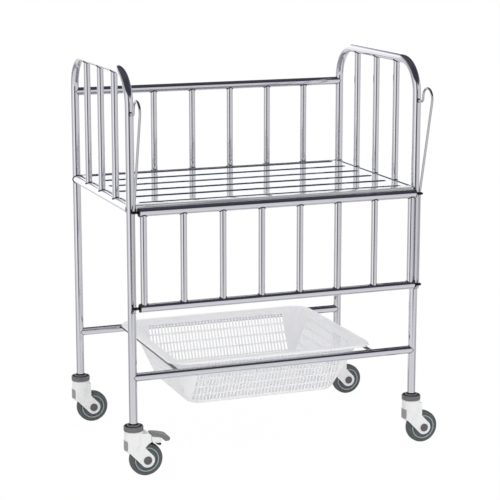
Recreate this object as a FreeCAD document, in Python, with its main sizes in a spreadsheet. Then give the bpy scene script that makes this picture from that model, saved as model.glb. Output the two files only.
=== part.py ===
import FreeCAD, Part
import math
import os
import re

import Sketcher
from FreeCAD import Placement, Rotation, Vector

# Hospital bassinet: a welded tube frame on four casters, with a flat deck for the mattress,
# a drop gate at the front that slides on two guide rods, and a lift-out basket below.
# X runs along the length, Y to the back and Z up, from the floor under the middle of the
# bassinet's outer box. All sizes are in millimetres, angles in degrees.

SIZES = {
    # frame
    "post_spacing_x": 720,
    "post_spacing_y": 460,
    "tube_radius": 10,
    "tube_wall": 1.2,
    "bar_radius": 8,
    "bar_wall": 1,
    "hoop_height": 950,
    "hoop_bend": 80,
    "leg_bottom": 124,
    "back_rail_height": 858,
    "deck_rail_height": 637,
    "lower_rail_height": 240,
    # deck
    "deck_sheet": 1.5,
    "deck_flange": 20,
    "slot_width": 5,
    "slot_pitch": 82.4,
    "slot_margin": 27,
    # guide rods
    "rod_radius": 3,
    "rod_offset": 25,
    "rod_foot_bend": 8,
    "rod_kink_bend": 60,
    "rod_kink_half": 8,
    "rod_lean": 13.9,
    "rod_reach": 82,
    "hump_radius": 24,
    "valley_radius": 8,
    "valley_height": 857,
    # gate
    "gate_height": 634,
    "gate_rail_spacing": 224,
    "gate_end_gap": 13,
    "gate_bar_margin": 9.5,
    "plug_flange": 2,
    "plug_depth": 14,
    "plug_clearance": 0.1,
    "eye_radius": 8.5,
    "eye_bore": 6,
    "eye_height": 15,
    "shank_radius": 3,
    "shank_depth": 9,
    "running_gap": 0.05,
    # basket and its rods
    "support_rod_radius": 4,
    "support_rod_height": 246,
    "support_rod_spacing": 500,
    "rest_gap": 0.3,
    "basket_width": 450,
    "basket_depth": 129,
    "basket_rim": 20,
    "basket_lip": 10,
    "basket_overhang": 10,
    "basket_wall": 2.5,
    "basket_taper_x": 50,
    "basket_taper_y": 61,
    "basket_heel": 8,
    "basket_rim_corner": 42,
    "basket_corner": 34,
    # casters
    "wheel_radius": 40,
    "wheel_width": 24,
    "wheel_trail": 29,
    "tyre_depth": 11,
    "tyre_shoulder": 6,
    "hub_web": 12,
    "hub_boss": 9,
    "axle_radius": 3,
    "axle_head_radius": 8.5,
    "axle_head": 2.5,
    "fork_radius": 22.5,
    "fork_top": 112,
    "fork_cheek_top": 105,
    "fork_width": 36,
    "fork_end_radius": 17,
    "fork_slope": 47,
    "fork_edge": 1.5,
    "fork_back_bend": 9,
    "insert_width": 26,
    "insert_low": 68,
    "insert_height": 20,
    "insert_depth": 5.5,
    "wheel_gap_side": 1,
    "wheel_gap_round": 3.5,
    "collar_radius": 23.5,
    "collar_top": 128,
    "collar_edge": 3.5,
    "collar_shelf": 17,
    "collar_foot_round": 3,
    "stem_radius": 5,
    "stem_shoulder": 8,
    "stem_depth": 26,
    "stem_plug": 43,
    # brake of the front left caster
    "brake_pivot_x": 31,
    "brake_pivot_height": 99,
    "brake_root_width": 25,
    "brake_arm_width": 32,
    "brake_nose": 34,
    "brake_pin_radius": 3,
    "brake_ear": 5,
    "brake_ear_reach": 7,
    "brake_ear_drop": 19,
    "pedal_width": 36,
    "pedal_reach": 57,
}

# Outer box: the collars reach furthest to -X and +Y, the trailing wheels to +X and the guide
# rods' humps to -Y. The posts are placed so that the middle of that box is at the origin.
LEFT = "-(post_spacing_x + wheel_trail + wheel_radius - collar_radius) / 2"
RIGHT = LEFT + " + post_spacing_x"
FRONT = "-(post_spacing_y + collar_radius - rod_reach - rod_radius) / 2"
BACK = FRONT + " + post_spacing_y"
MIDDLE_X = LEFT + " + post_spacing_x / 2"
MIDDLE_Y = FRONT + " + post_spacing_y / 2"

END_BARS = 3
BACK_BARS = 6
GATE_BARS = 8
DECK_SLOTS = 6

doc = FreeCAD.newDocument("HospitalBassinet")
sheet = doc.addObject("Spreadsheet::Sheet", "Sizes")
for row, (alias, number) in enumerate(SIZES.items(), start=1):
    sheet.set(f"A{row}", alias)
    sheet.set(f"B{row}", str(number))
    sheet.setAlias(f"B{row}", alias)
doc.recompute()

parts = {}
X_AXIS = Vector(1, 0, 0)
Y_AXIS = Vector(0, 1, 0)
Z_AXIS = Vector(0, 0, 1)


def formula(text):
    """An expression in the sheet's words, with each word pointed at its cell."""
    return re.sub(r"[a-z_]+[a-z_0-9]*", lambda m: "Sizes." + m[0] if m[0] in SIZES else m[0], text)


def value(text):
    """The number that an expression in the sheet's words gives."""
    return float(sheet.evalExpression(formula(text)))


def bind(thing, **expressions):
    """Ties each named property to an expression in the sheet's words."""
    for name, text in expressions.items():
        thing.setExpression(name, formula(text))
    return thing


def place(thing, x="0", y="0", z="0", turn=None):
    """Puts an object at a point given by three expressions, turned by a fixed rotation."""
    thing.Placement = Placement(Vector(), turn or Rotation())
    for axis, text in zip("xyz", (x, y, z)):
        thing.setExpression(f".Placement.Base.{axis}", formula(text))
    return thing


def keep(thing, label):
    """Names a finished sub-part; its label names its file."""
    thing.Label = label
    parts[label] = thing
    return thing


# --- solids of revolution and straight tubes -------------------------------------------------

TURN_TO = {"X": Rotation(Y_AXIS, 90), "Y": Rotation(X_AXIS, -90), "Z": Rotation()}


def cylinder(name, radius, length, axis, x, y, z):
    """A round bar from a point along one axis of the frame."""
    bar = doc.addObject("Part::Cylinder", name)
    bind(bar, Radius=radius, Height=length)
    return place(bar, x, y, z, TURN_TO[axis])


def cut(name, base, tools):
    """The base with one or more tools taken away."""
    if len(tools) == 1:
        tool = tools[0]
    else:
        tool = doc.addObject("Part::MultiFuse", name + "_tools")
        tool.Shapes = tools
    result = doc.addObject("Part::Cut", name)
    result.Base = base
    result.Tool = tool
    return result


def tube(label, radius, wall, length, axis, x, y, z, seats=()):
    """A hollow tube whose ends are coped to the round members that it is welded to.

    Returns the tube's solid core, which other members cope to.
    """
    core = cylinder(label + "_core", radius, length, axis, x, y, z)
    bore = cylinder(label + "_bore", f"{radius} - {wall}", length, axis, x, y, z)
    keep(cut(label + "_tube", core, [bore, *seats]), label)
    return core


# --- sketches --------------------------------------------------------------------------------


def plane(body, role):
    """One of a body's own origin planes or axes."""
    return next(f for f in body.Origin.OriginFeatures if f.Role == role)


def new_body(name):
    return doc.addObject("PartDesign::Body", name)


def new_sketch(body, name, role, offset="0"):
    """A sketch on one of the body's origin planes, lifted along the plane's normal."""
    sketch = body.newObject("Sketcher::SketchObject", name)
    sketch.AttachmentSupport = [(plane(body, role), "")]
    sketch.MapMode = "FlatFace"
    if offset != "0":
        sketch.setExpression(".AttachmentOffset.Base.z", formula(offset))
    return sketch


def dimension(sketch, kind, *where, to):
    """A driving dimension whose value is an expression in the sheet's words."""
    index = sketch.addConstraint(Sketcher.Constraint(kind, *where, value(to)))
    sketch.setExpression(f"Constraints[{index}]", formula(to))


def circle(sketch, radius, x="0", y="0"):
    """A circle with a bound radius and centre; returns its index."""
    centre = Vector(value(x), value(y), 0)
    index = sketch.addGeometry(Part.Circle(centre, Z_AXIS, value(radius)), False)
    dimension(sketch, "Radius", index, to=radius)
    for kind, text in (("DistanceX", x), ("DistanceY", y)):
        if text == "0":
            axis = -2 if kind == "DistanceX" else -1
            sketch.addConstraint(Sketcher.Constraint("PointOnObject", index, 3, axis))
        else:
            dimension(sketch, kind, -1, 1, index, 3, to=text)
    return index


def outline(sketch, points, rounds=None):
    """A closed outline through corner points given as pairs of expressions.

    Each corner is bound to the sheet. A corner listed in rounds gets a round of that radius,
    which touches both of its sides.
    """
    rounds = rounds or {}
    corners = [Vector(value(x), value(y), 0) for x, y in points]
    count = len(corners)
    ends = []
    for i, corner in enumerate(corners):
        before = (corners[i - 1] - corner).normalize()
        after = (corners[(i + 1) % count] - corner).normalize()
        if i in rounds:
            half = before.getAngle(after) / 2
            reach = value(rounds[i]) / math.tan(half)
            ends.append((corner + before * reach, corner + after * reach))
        else:
            ends.append((corner, corner))
    lines = []
    for i in range(count):
        segment = Part.LineSegment(ends[i][1], ends[(i + 1) % count][0])
        lines.append(sketch.addGeometry(segment, False))
    for i, corner in enumerate(corners):
        last, following = lines[i - 1], lines[i]
        if i in rounds:
            start, end = ends[i]
            inward = ((start + end) / 2 - corner).normalize()
            radius = value(rounds[i])
            side = (start - corner).normalize()
            centre = corner + inward * (radius / math.sin(side.getAngle(inward)))
            middle = centre - inward * radius
            arc = sketch.addGeometry(Part.Arc(start, middle, end), False)
            turns_left = (corner - start).cross(end - corner).z > 0
            first, second = (1, 2) if turns_left else (2, 1)
            sketch.addConstraint(Sketcher.Constraint("Tangent", last, 2, arc, first))
            sketch.addConstraint(Sketcher.Constraint("Tangent", following, 1, arc, second))
            dimension(sketch, "Radius", arc, to=rounds[i])
            mark = sketch.addGeometry(Part.Point(corner), True)
            sketch.addConstraint(Sketcher.Constraint("PointOnObject", mark, 1, last))
            sketch.addConstraint(Sketcher.Constraint("PointOnObject", mark, 1, following))
            bound, end_point = mark, 1
        else:
            sketch.addConstraint(Sketcher.Constraint("Coincident", last, 2, following, 1))
            bound, end_point = following, 1
        for kind, text, axis in (("DistanceX", points[i][0], -2), ("DistanceY", points[i][1], -1)):
            if text == "0":
                sketch.addConstraint(Sketcher.Constraint("PointOnObject", bound, end_point, axis))
            else:
                dimension(sketch, kind, -1, 1, bound, end_point, to=text)


def rectangle(sketch, length, width, corner=None):
    """A rectangle centred on the sketch's origin, with rounded corners if asked for."""
    half_x, half_y = f"({length}) / 2", f"({width}) / 2"
    points = [
        ("-" + half_x, "-" + half_y),
        (half_x, "-" + half_y),
        (half_x, half_y),
        ("-" + half_x, half_y),
    ]
    outline(sketch, points, {i: corner for i in range(4)} if corner else None)


def pad(body, sketch, name, length, both_ways=False, downward=False):
    feature = body.newObject("PartDesign::Pad", name)
    feature.Profile = sketch
    bind(feature, Length=length)
    feature.Midplane = both_ways
    feature.Reversed = downward
    return feature


def pocket(body, sketch, name, length=None, both_ways=False, upward=False):
    """A pocket; without a length it goes through everything. The solid has to get smaller."""
    doc.recompute()
    before = body.Shape.Volume
    feature = body.newObject("PartDesign::Pocket", name)
    feature.Profile = sketch
    if length:
        bind(feature, Length=length)
    else:
        feature.Type = 1
    feature.Midplane = both_ways
    feature.Reversed = upward
    doc.recompute()
    if body.Shape.Volume >= before - 1e-6:
        raise RuntimeError(f"{name} cuts nothing")
    return feature


def turned(body, sketch, name, axis):
    """A full revolution about one of the body's origin axes."""
    feature = body.newObject("PartDesign::Revolution", name)
    feature.Profile = sketch
    feature.ReferenceAxis = (plane(body, axis), [""])
    feature.Angle = 360
    return feature


# --- frame -----------------------------------------------------------------------------------

CORNERS = {
    "front_left": (LEFT, FRONT),
    "front_right": (RIGHT, FRONT),
    "back_left": (LEFT, BACK),
    "back_right": (RIGHT, BACK),
}
SIDES = {"left": LEFT, "right": RIGHT}


def make_hoop(side, x):
    """A tube bent to an upside-down U: two legs and the top rail of one end."""
    body = new_body(side + "_hoop")
    path = new_sketch(body, side + "_hoop_path", "YZ_Plane")
    width, height, bend = value("post_spacing_y"), value("hoop_height - leg_bottom"), value("hoop_bend")
    left_bend, right_bend = Vector(bend, height - bend), Vector(width - bend, height - bend)
    pieces = [
        Part.LineSegment(Vector(), Vector(0, height - bend, 0)),
        Part.ArcOfCircle(Part.Circle(left_bend, Z_AXIS, bend), math.pi / 2, math.pi),
        Part.LineSegment(Vector(bend, height, 0), Vector(width - bend, height, 0)),
        Part.ArcOfCircle(Part.Circle(right_bend, Z_AXIS, bend), 0, math.pi / 2),
        Part.LineSegment(Vector(width, height - bend, 0), Vector(width, 0, 0)),
    ]
    path.addGeometry(pieces, False)
    joins = [("Tangent", 0, 2, 1, 2), ("Tangent", 1, 1, 2, 1), ("Tangent", 2, 2, 3, 2), ("Tangent", 3, 1, 4, 1)]
    shape = [("Coincident", 0, 1, -1, 1), ("Vertical", 0), ("Horizontal", 2), ("Vertical", 4)]
    shape += [("Equal", 1, 3), ("PointOnObject", 4, 2, -1)]
    path.addConstraint([Sketcher.Constraint(*c) for c in joins + shape])
    dimension(path, "Radius", 1, to="hoop_bend")
    dimension(path, "DistanceY", 0, 1, 2, 1, to="hoop_height - leg_bottom")
    dimension(path, "DistanceX", 0, 1, 4, 2, to="post_spacing_y")
    ring = new_sketch(body, side + "_hoop_ring", "XY_Plane")
    circle(ring, "tube_radius")
    circle(ring, "tube_radius - tube_wall")
    doc.recompute()
    sweep = body.newObject("PartDesign::AdditivePipe", side + "_hoop_sweep")
    sweep.Profile = ring
    sweep.Spine = (path, [f"Edge{i + 1}" for i in range(len(pieces))])
    place(body, x, FRONT, "leg_bottom")
    keep(body, side + "_end_hoop")


for side, x in SIDES.items():
    make_hoop(side, x)

# solid cores of the legs and of the hoops' tops, which the welded members cope to
post = {
    corner: cylinder(corner + "_post_core", "tube_radius", "hoop_height", "Z", x, y, "0")
    for corner, (x, y) in CORNERS.items()
}
hoop_top = {
    side: cylinder(side + "_top_core", "tube_radius", "post_spacing_y", "Y", x, FRONT, "hoop_height")
    for side, x in SIDES.items()
}


def long_rail(label, y, z, where):
    """A rail along the length, between the left and the right leg of one side."""
    seats = [post[where + "_left"], post[where + "_right"]]
    return tube(label, "tube_radius", "tube_wall", "post_spacing_x", "X", LEFT, y, z, seats)


front_deck_core = long_rail("front_deck_rail", FRONT, "deck_rail_height", "front")
back_deck_core = long_rail("back_deck_rail", BACK, "deck_rail_height", "back")
back_top_core = long_rail("back_top_rail", BACK, "back_rail_height", "back")
front_lower_core = long_rail("front_lower_rail", FRONT, "lower_rail_height", "front")
back_lower_core = long_rail("back_lower_rail", BACK, "lower_rail_height", "back")

end_deck_core = {}
for side, x in SIDES.items():
    seats = [post["front_" + side], post["back_" + side], front_deck_core, back_deck_core]
    end_deck_core[side] = tube(
        side + "_deck_rail", "tube_radius", "tube_wall", "post_spacing_y", "Y", x, FRONT,
        "deck_rail_height", seats,
    )


def upright(label, x, y, low, high, seats):
    """A thin upright bar, welded between two rails."""
    tube(label, "bar_radius", "bar_wall", f"{high} - {low}", "Z", x, y, low, seats)


for side, x in SIDES.items():
    for i in range(1, END_BARS + 1):
        y = f"{FRONT} + post_spacing_y * {i} / {END_BARS + 1}"
        seats = [end_deck_core[side], hoop_top[side]]
        upright(f"{side}_end_bar_{i}", x, y, "deck_rail_height", "hoop_height", seats)

for i in range(1, BACK_BARS + 1):
    x = f"{LEFT} + post_spacing_x * {i} / {BACK_BARS + 1}"
    seats = [back_deck_core, back_top_core]
    upright(f"back_bar_{i}", x, BACK, "deck_rail_height", "back_rail_height", seats)


def make_deck():
    """The mattress deck: one sheet with turned-down edges and long slots."""
    body = new_body("deck")
    length, width = "post_spacing_x - 2 * tube_radius", "post_spacing_y - 2 * tube_radius"
    sheet_outline = new_sketch(body, "deck_outline", "XY_Plane")
    rectangle(sheet_outline, length, width)
    pad(body, sheet_outline, "deck_block", "deck_flange", downward=True)
    hollow = new_sketch(body, "deck_hollow_outline", "XY_Plane", "-deck_sheet")
    rectangle(hollow, length + " - 2 * deck_sheet", width + " - 2 * deck_sheet")
    pocket(body, hollow, "deck_hollow", "deck_flange - deck_sheet")
    slot = new_sketch(body, "deck_slot_outline", "XY_Plane")
    half_length = "(post_spacing_x / 2 - tube_radius - slot_margin)"
    first = f"(-slot_pitch * {(DECK_SLOTS - 1) / 2})"
    low, high = first + " - slot_width / 2", first + " + slot_width / 2"
    points = [("-" + half_length, low), (half_length, low), (half_length, high), ("-" + half_length, high)]
    outline(slot, points)
    cutter = pocket(body, slot, "deck_slot", "deck_sheet + deck_sheet")
    slots = body.newObject("PartDesign::LinearPattern", "deck_slots")
    slots.Originals = [cutter]
    slots.Direction = (plane(body, "Y_Axis"), [""])
    slots.Occurrences = DECK_SLOTS
    bind(slots, Length=f"slot_pitch * {DECK_SLOTS - 1}")
    body.Tip = slots
    place(body, MIDDLE_X, MIDDLE_Y, "deck_rail_height + tube_radius")
    keep(body, "deck_panel")


make_deck()

# --- guide rods ------------------------------------------------------------------------------


# the rod's foot is as high as lets the lowered gate's eyes come to rest on its bend
FOOT_RISE = "rod_foot_bend - sqrt((rod_foot_bend - rod_radius) ^ 2 - (rod_foot_bend - eye_bore) ^ 2)"
ROD_FOOT = f"(gate_height - gate_rail_spacing - eye_height / 2 - rest_gap - ({FOOT_RISE}))"


def rounded_wire(points, radii):
    """Straight runs through the points, joined at each inner point by a tangent arc."""
    edges = []
    start = points[0]
    for before, corner, after, radius in zip(points, points[1:], points[2:], radii):
        back = (before - corner).normalize()
        ahead = (after - corner).normalize()
        half = back.getAngle(ahead) / 2
        reach = radius / math.tan(half)
        inward = (back + ahead).normalize()
        middle = corner + inward * (radius / math.sin(half) - radius)
        edges.append(Part.makeLine(start, corner + back * reach))
        edges.append(Part.Arc(corner + back * reach, middle, corner + ahead * reach).toShape())
        start = corner + ahead * reach
    edges.append(Part.makeLine(start, points[-1]))
    return Part.Wire(edges)


def guide_route():
    """The guide rod's line, seen from the end: distance in front of the legs, and height.

    The foot comes out of the leg, the rod rises straight to the lowered gate's top eye,
    leans outwards, turns over the hump and drops into the valley beside the leg.
    """
    lean = math.radians(value("rod_lean"))
    hump = value("hump_radius")
    out, kink = value("rod_offset"), value("gate_height")
    centre_out = value("rod_reach") - hump
    touch_out = centre_out + hump * math.cos(lean)
    touch_up = kink + (touch_out - out) / math.tan(lean)
    crest = touch_up + hump * math.sin(lean) + hump
    crest_out = out + (crest - kink) * math.tan(lean)
    inner_out = centre_out - hump
    leg = value("tube_radius") / 2
    route = [
        (leg, value(ROD_FOOT)),
        (out, value(ROD_FOOT)),
        (out, kink),
        (crest_out, crest),
        (inner_out, crest),
        (inner_out, value("valley_height")),
        (leg, value("valley_height")),
    ]
    radii = [value("rod_foot_bend"), value("rod_kink_bend"), hump, hump, value("valley_radius")]
    return [Vector(0, -y, z) for y, z in route], radii


def rod_run(name, rod, x, low, high):
    """The run of a guide rod between two heights."""
    band = doc.addObject("Part::Box", name + "_band")
    bind(band, Length="4 * rod_radius", Width="2 * rod_reach", Height=f"{high} - ({low})")
    place(band, f"{x} - 2 * rod_radius", f"{FRONT} - 1.5 * rod_reach", low)
    run = doc.addObject("Part::Common", name)
    run.Base = rod
    run.Tool = band
    return run


# where one run of a guide rod ends and the next begins: the upright foot, the kink beside the
# lowered gate's upper eye, the straight lean and the hump with its valley
ROD_RUNS = {
    "foot": ("0", "gate_height - rod_kink_half"),
    "kink": ("gate_height - rod_kink_half", "gate_height + rod_kink_half"),
    "lean": ("gate_height + rod_kink_half", "valley_height - 2 * rod_radius"),
    "hump": ("valley_height - 2 * rod_radius", "hoop_height"),
}

for side, x in SIDES.items():
    line = doc.addObject("Part::Feature", side + "_guide_line")
    line.Shape = rounded_wire(*guide_route())
    section = doc.addObject("Part::Circle", side + "_guide_section")
    bind(section, Radius="rod_radius")
    place(section, y="-tube_radius / 2", z=ROD_FOOT, turn=Rotation(X_AXIS, 90))
    sweep = doc.addObject("Part::Sweep", side + "_guide_sweep")
    sweep.Sections = [section]
    sweep.Spine = (line, [f"Edge{i + 1}" for i in range(len(line.Shape.Edges))])
    sweep.Solid = True
    sweep.Frenet = False
    place(sweep, x, FRONT, "0")
    rod = cut(side + "_guide", sweep, [post["front_" + side]])
    runs = doc.addObject("Part::Compound", side + "_guide_runs")
    runs.Links = [rod_run(f"{side}_guide_{run}", rod, x, *ends) for run, ends in ROD_RUNS.items()]
    keep(runs, side + "_guide_rod")

# --- drop gate -------------------------------------------------------------------------------

GATE_Y = FRONT + " - rod_offset"
GATE_START = LEFT + " + gate_end_gap"
GATE_LENGTH = "(post_spacing_x - 2 * gate_end_gap)"
GATE_LOW = "(gate_height - gate_rail_spacing)"

gate_core = {}
for level, z in (("top", "gate_height"), ("bottom", GATE_LOW)):
    gate_core[level] = tube(
        f"gate_{level}_rail", "tube_radius", "tube_wall", GATE_LENGTH, "X", GATE_START, GATE_Y, z,
    )
for i in range(GATE_BARS):
    x = f"{GATE_START} + gate_bar_margin + ({GATE_LENGTH} - 2 * gate_bar_margin) * {i} / {GATE_BARS - 1}"
    upright(f"gate_bar_{i + 1}", x, GATE_Y, GATE_LOW, "gate_height", list(gate_core.values()))


def fuse(name, *shapes):
    result = doc.addObject("Part::MultiFuse", name)
    result.Shapes = list(shapes)
    return result


def group(label, members):
    """Identical pieces that share one node."""
    result = doc.addObject("Part::Compound", label + "_group")
    result.Links = members
    return keep(result, label)


def end_plug(name, side, z):
    """A push-in end plug with a flange, and a hole for the eye's shank."""
    mouth = f"{SIDES[side]} + gate_end_gap" if side == "left" else f"{SIDES[side]} - gate_end_gap"
    flange_x = mouth + (" - plug_flange" if side == "left" else "")
    body_x = mouth + ("" if side == "left" else " - plug_depth")
    hole_x = mouth + (" - plug_flange" if side == "left" else " - plug_depth")
    flange = cylinder(name + "_flange", "tube_radius", "plug_flange", "X", flange_x, GATE_Y, z)
    inner = "tube_radius - tube_wall - plug_clearance"
    barrel = cylinder(name + "_barrel", inner, "plug_depth", "X", body_x, GATE_Y, z)
    hole = cylinder(
        name + "_hole", "shank_radius + running_gap", "plug_depth + plug_flange", "X", hole_x, GATE_Y, z,
    )
    return cut(name, fuse(name + "_solid", flange, barrel), [hole])


def rod_eye(name, side, z):
    """A short sleeve round the guide rod, with a shank that enters the gate rail's plug."""
    sleeve = cylinder(
        name + "_sleeve", "eye_radius", "eye_height", "Z", SIDES[side], GATE_Y, f"{z} - eye_height / 2",
    )
    bore = cylinder(
        name + "_bore", "eye_bore", "eye_height", "Z", SIDES[side], GATE_Y, f"{z} - eye_height / 2",
    )
    length = "gate_end_gap + shank_depth"
    start = SIDES[side] if side == "left" else f"{SIDES[side]} - ({length})"
    shank = cylinder(name + "_shank", "shank_radius", length, "X", start, GATE_Y, z)
    return cut(name, fuse(name + "_solid", sleeve, shank), [bore])


group("gate_end_plugs", [
    end_plug(f"plug_{side}_{level}", side, z)
    for side in SIDES
    for level, z in (("top", "gate_height"), ("bottom", GATE_LOW))
])
group("gate_upper_eyes", [rod_eye(f"upper_eye_{side}", side, "gate_height") for side in SIDES])
group("gate_lower_eyes", [rod_eye(f"lower_eye_{side}", side, GATE_LOW) for side in SIDES])

# --- basket ----------------------------------------------------------------------------------

for side, sign in (("left", "-"), ("right", "+")):
    x = f"{MIDDLE_X} {sign} support_rod_spacing / 2"
    rod = cylinder(
        side + "_support", "support_rod_radius", "post_spacing_y", "Y", x, FRONT, "support_rod_height",
    )
    seats = [front_lower_core, back_lower_core]
    keep(cut(side + "_support_rod", rod, seats), side + "_basket_rod")


def make_basket():
    """A tapered tray with a channel rim that rests on the two support rods."""
    body = new_body("basket")
    outer_x, outer_y = "(support_rod_spacing + 2 * basket_overhang)", "basket_width"
    wall_x, wall_y = f"({outer_x} - 2 * basket_rim)", f"({outer_y} - 2 * basket_rim)"
    tray = [(wall_x, wall_y, "basket_depth")]
    for height, inset in (("basket_heel", "0"), ("0", "basket_heel")):
        lean = f"(1 - {height} / basket_depth)"
        foot_x = f"({wall_x} - 2 * basket_taper_x * {lean} - 2 * {inset})"
        foot_y = f"({wall_y} - 2 * basket_taper_y * {lean} - 2 * {inset})"
        tray.append((foot_x, foot_y, height))

    def section(name, length, width, corner, height):
        sketch = new_sketch(body, name, "XY_Plane", height)
        rectangle(sketch, length, width, corner)
        return sketch

    def loft(kind, name, sections, less="", corner="basket_corner"):
        rings = [
            section(f"{name}_{i}", length + less, width + less, corner, height)
            for i, (length, width, height) in enumerate(sections)
        ]
        doc.recompute()
        feature = body.newObject(f"PartDesign::{kind}Loft", name)
        feature.Profile = rings[0]
        feature.Sections = rings[1:]
        feature.Ruled = True

    loft("Additive", "tray", tray)
    rim = section("rim_outline", outer_x, outer_y, "basket_rim_corner", "basket_depth")
    pad(body, rim, "rim", "basket_lip", downward=True)
    inside = " - 2 * basket_wall"
    channel = section(
        "channel_outer", outer_x + inside, outer_y + inside, "basket_rim_corner - basket_wall",
        "basket_depth - basket_lip",
    )
    rectangle(channel, wall_x, wall_y, "basket_corner")
    pocket(body, channel, "channel", "basket_lip - basket_wall", upward=True)
    floor = (*tray[2][:2], "basket_wall")
    loft("Subtractive", "hollow", [*tray[:2], floor], inside, "basket_corner - basket_wall")
    lift = "support_rod_height + support_rod_radius + rest_gap + basket_lip - basket_depth"
    place(body, MIDDLE_X, MIDDLE_Y, lift)
    keep(body, "basket")


make_basket()

# --- casters ---------------------------------------------------------------------------------
# A caster is drawn about its swivel axis, from the floor up, with the wheel trailing to +X.


def ring_profile(label, axis, plane_role, points, rounds=None):
    """A body turned from an outline of pairs: along the axis and out from it."""
    body = new_body(label)
    sketch = new_sketch(body, label + "_profile", plane_role)
    outline(sketch, points, rounds)
    turned(body, sketch, label + "_turned", axis)
    return body


def make_fork(corner, x, y):
    """The swivelling fork: a round neck that narrows to two cheeks, which lean to the axle."""
    label = corner + "_caster_fork"
    body = new_body(label)
    half, slope, reach = "(fork_width / 2)", "(fork_slope * 1 deg)", "fork_end_radius"

    # the cheeks seen from above: round at the swivel and straight-sided over the wheel
    plan = new_sketch(body, label + "_plan", "XY_Plane")
    far = "(wheel_trail + fork_end_radius + 5)"
    chord = value("sqrt(fork_radius ^ 2 - fork_width ^ 2 / 4)")
    side = value(half)
    arc = Part.Arc(Vector(-chord, side), Vector(-value("fork_radius"), 0), Vector(-chord, -side))
    ends = [Vector(-chord, -side), Vector(value(far), -side), Vector(value(far), side), Vector(-chord, side)]
    plan.addGeometry([arc] + [Part.LineSegment(a, b) for a, b in zip(ends, ends[1:])], False)
    joins = [("Coincident", 0, 2, 1, 1), ("Coincident", 1, 2, 2, 1), ("Coincident", 2, 2, 3, 1)]
    joins += [("Coincident", 3, 2, 0, 1), ("Horizontal", 1), ("Vertical", 2), ("Horizontal", 3)]
    plan.addConstraint([Sketcher.Constraint(*c) for c in joins + [("Coincident", 0, 3, -1, 1)]])
    dimension(plan, "Radius", 0, to="fork_radius")
    dimension(plan, "DistanceY", -1, 1, 2, 2, to=half)
    dimension(plan, "DistanceY", 2, 1, -1, 1, to=half)
    dimension(plan, "DistanceX", -1, 1, 2, 1, to=far)
    pad(body, plan, label + "_block", "fork_cheek_top")

    # everything outside the cheeks' outline, seen from the side, is taken away
    outside = new_sketch(body, label + "_outside", "XZ_Plane")
    low_x, low_z = f"(wheel_trail - {reach} * sin({slope}))", f"(wheel_radius - {reach} * cos({slope}))"
    high_x, high_z = f"(wheel_trail + {reach} * sin({slope}))", f"(wheel_radius + {reach} * cos({slope}))"
    beyond = "(fork_radius + 5)"
    rise = f"{low_z} + ({low_x} + fork_radius) * tan({slope})"
    outline(outside, [
        ("-" + beyond, "-5"), ("wheel_trail + 2 * fork_end_radius", "-5"),
        ("wheel_trail + 2 * fork_end_radius", "fork_top + 5"), ("fork_radius", "fork_top + 5"),
        ("fork_radius", f"{high_z} + ({high_x} - fork_radius) * tan({slope})"),
        (high_x, high_z), (low_x, low_z), ("-fork_radius", rise), ("-" + beyond, rise),
    ], {7: "fork_back_bend"})
    pocket(body, outside, label + "_cheeks", both_ways=True)
    end = new_sketch(body, label + "_end_outline", "XZ_Plane")
    circle(end, reach, "wheel_trail", "wheel_radius")
    pad(body, end, label + "_end", "fork_width", both_ways=True)

    # the neck narrows to the width of the cheeks and has a fine groove below its edge
    neck = new_sketch(body, label + "_neck_outline", "XZ_Plane")
    outline(neck, [
        ("0", "fork_cheek_top - fork_radius * 2"), (half, "fork_cheek_top - fork_radius * 2"),
        ("fork_radius", "fork_cheek_top - fork_radius"), ("fork_radius", "fork_top - fork_edge"),
        ("fork_radius - fork_edge", "fork_top"), ("0", "fork_top"),
    ])
    turned(body, neck, label + "_neck", "Z_Axis")
    if corner == "front_left":
        add_brake_ears(body, label)

    well = new_sketch(body, label + "_well_outline", "XZ_Plane")
    circle(well, "wheel_radius + wheel_gap_round", "wheel_trail", "wheel_radius")
    pocket(body, well, label + "_well", "wheel_width + 2 * wheel_gap_side", both_ways=True)
    recess = new_sketch(body, label + "_recess_outline", "YZ_Plane", "-fork_radius")
    low, high = "insert_low", "(insert_low + insert_height)"
    outline(recess, [
        ("-insert_width / 2", low), ("insert_width / 2", low), ("insert_width / 2", high), ("-insert_width / 2", high),
    ], {i: "insert_height / 4" for i in range(4)})
    pocket(body, recess, label + "_recess", "insert_depth", upward=True)
    bore = new_sketch(body, label + "_bore_outline", "XY_Plane", "fork_top")
    circle(bore, "stem_radius + running_gap")
    pocket(body, bore, label + "_bore", "stem_depth")
    hole = new_sketch(body, label + "_hole_outline", "XZ_Plane")
    circle(hole, "axle_radius", "wheel_trail", "wheel_radius")
    pocket(body, hole, label + "_hole", "fork_width", both_ways=True)
    place(body, x, y, "0")
    return keep(body, label)


EAR_FOOT = "(brake_pivot_height - brake_ear_drop)"


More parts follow.
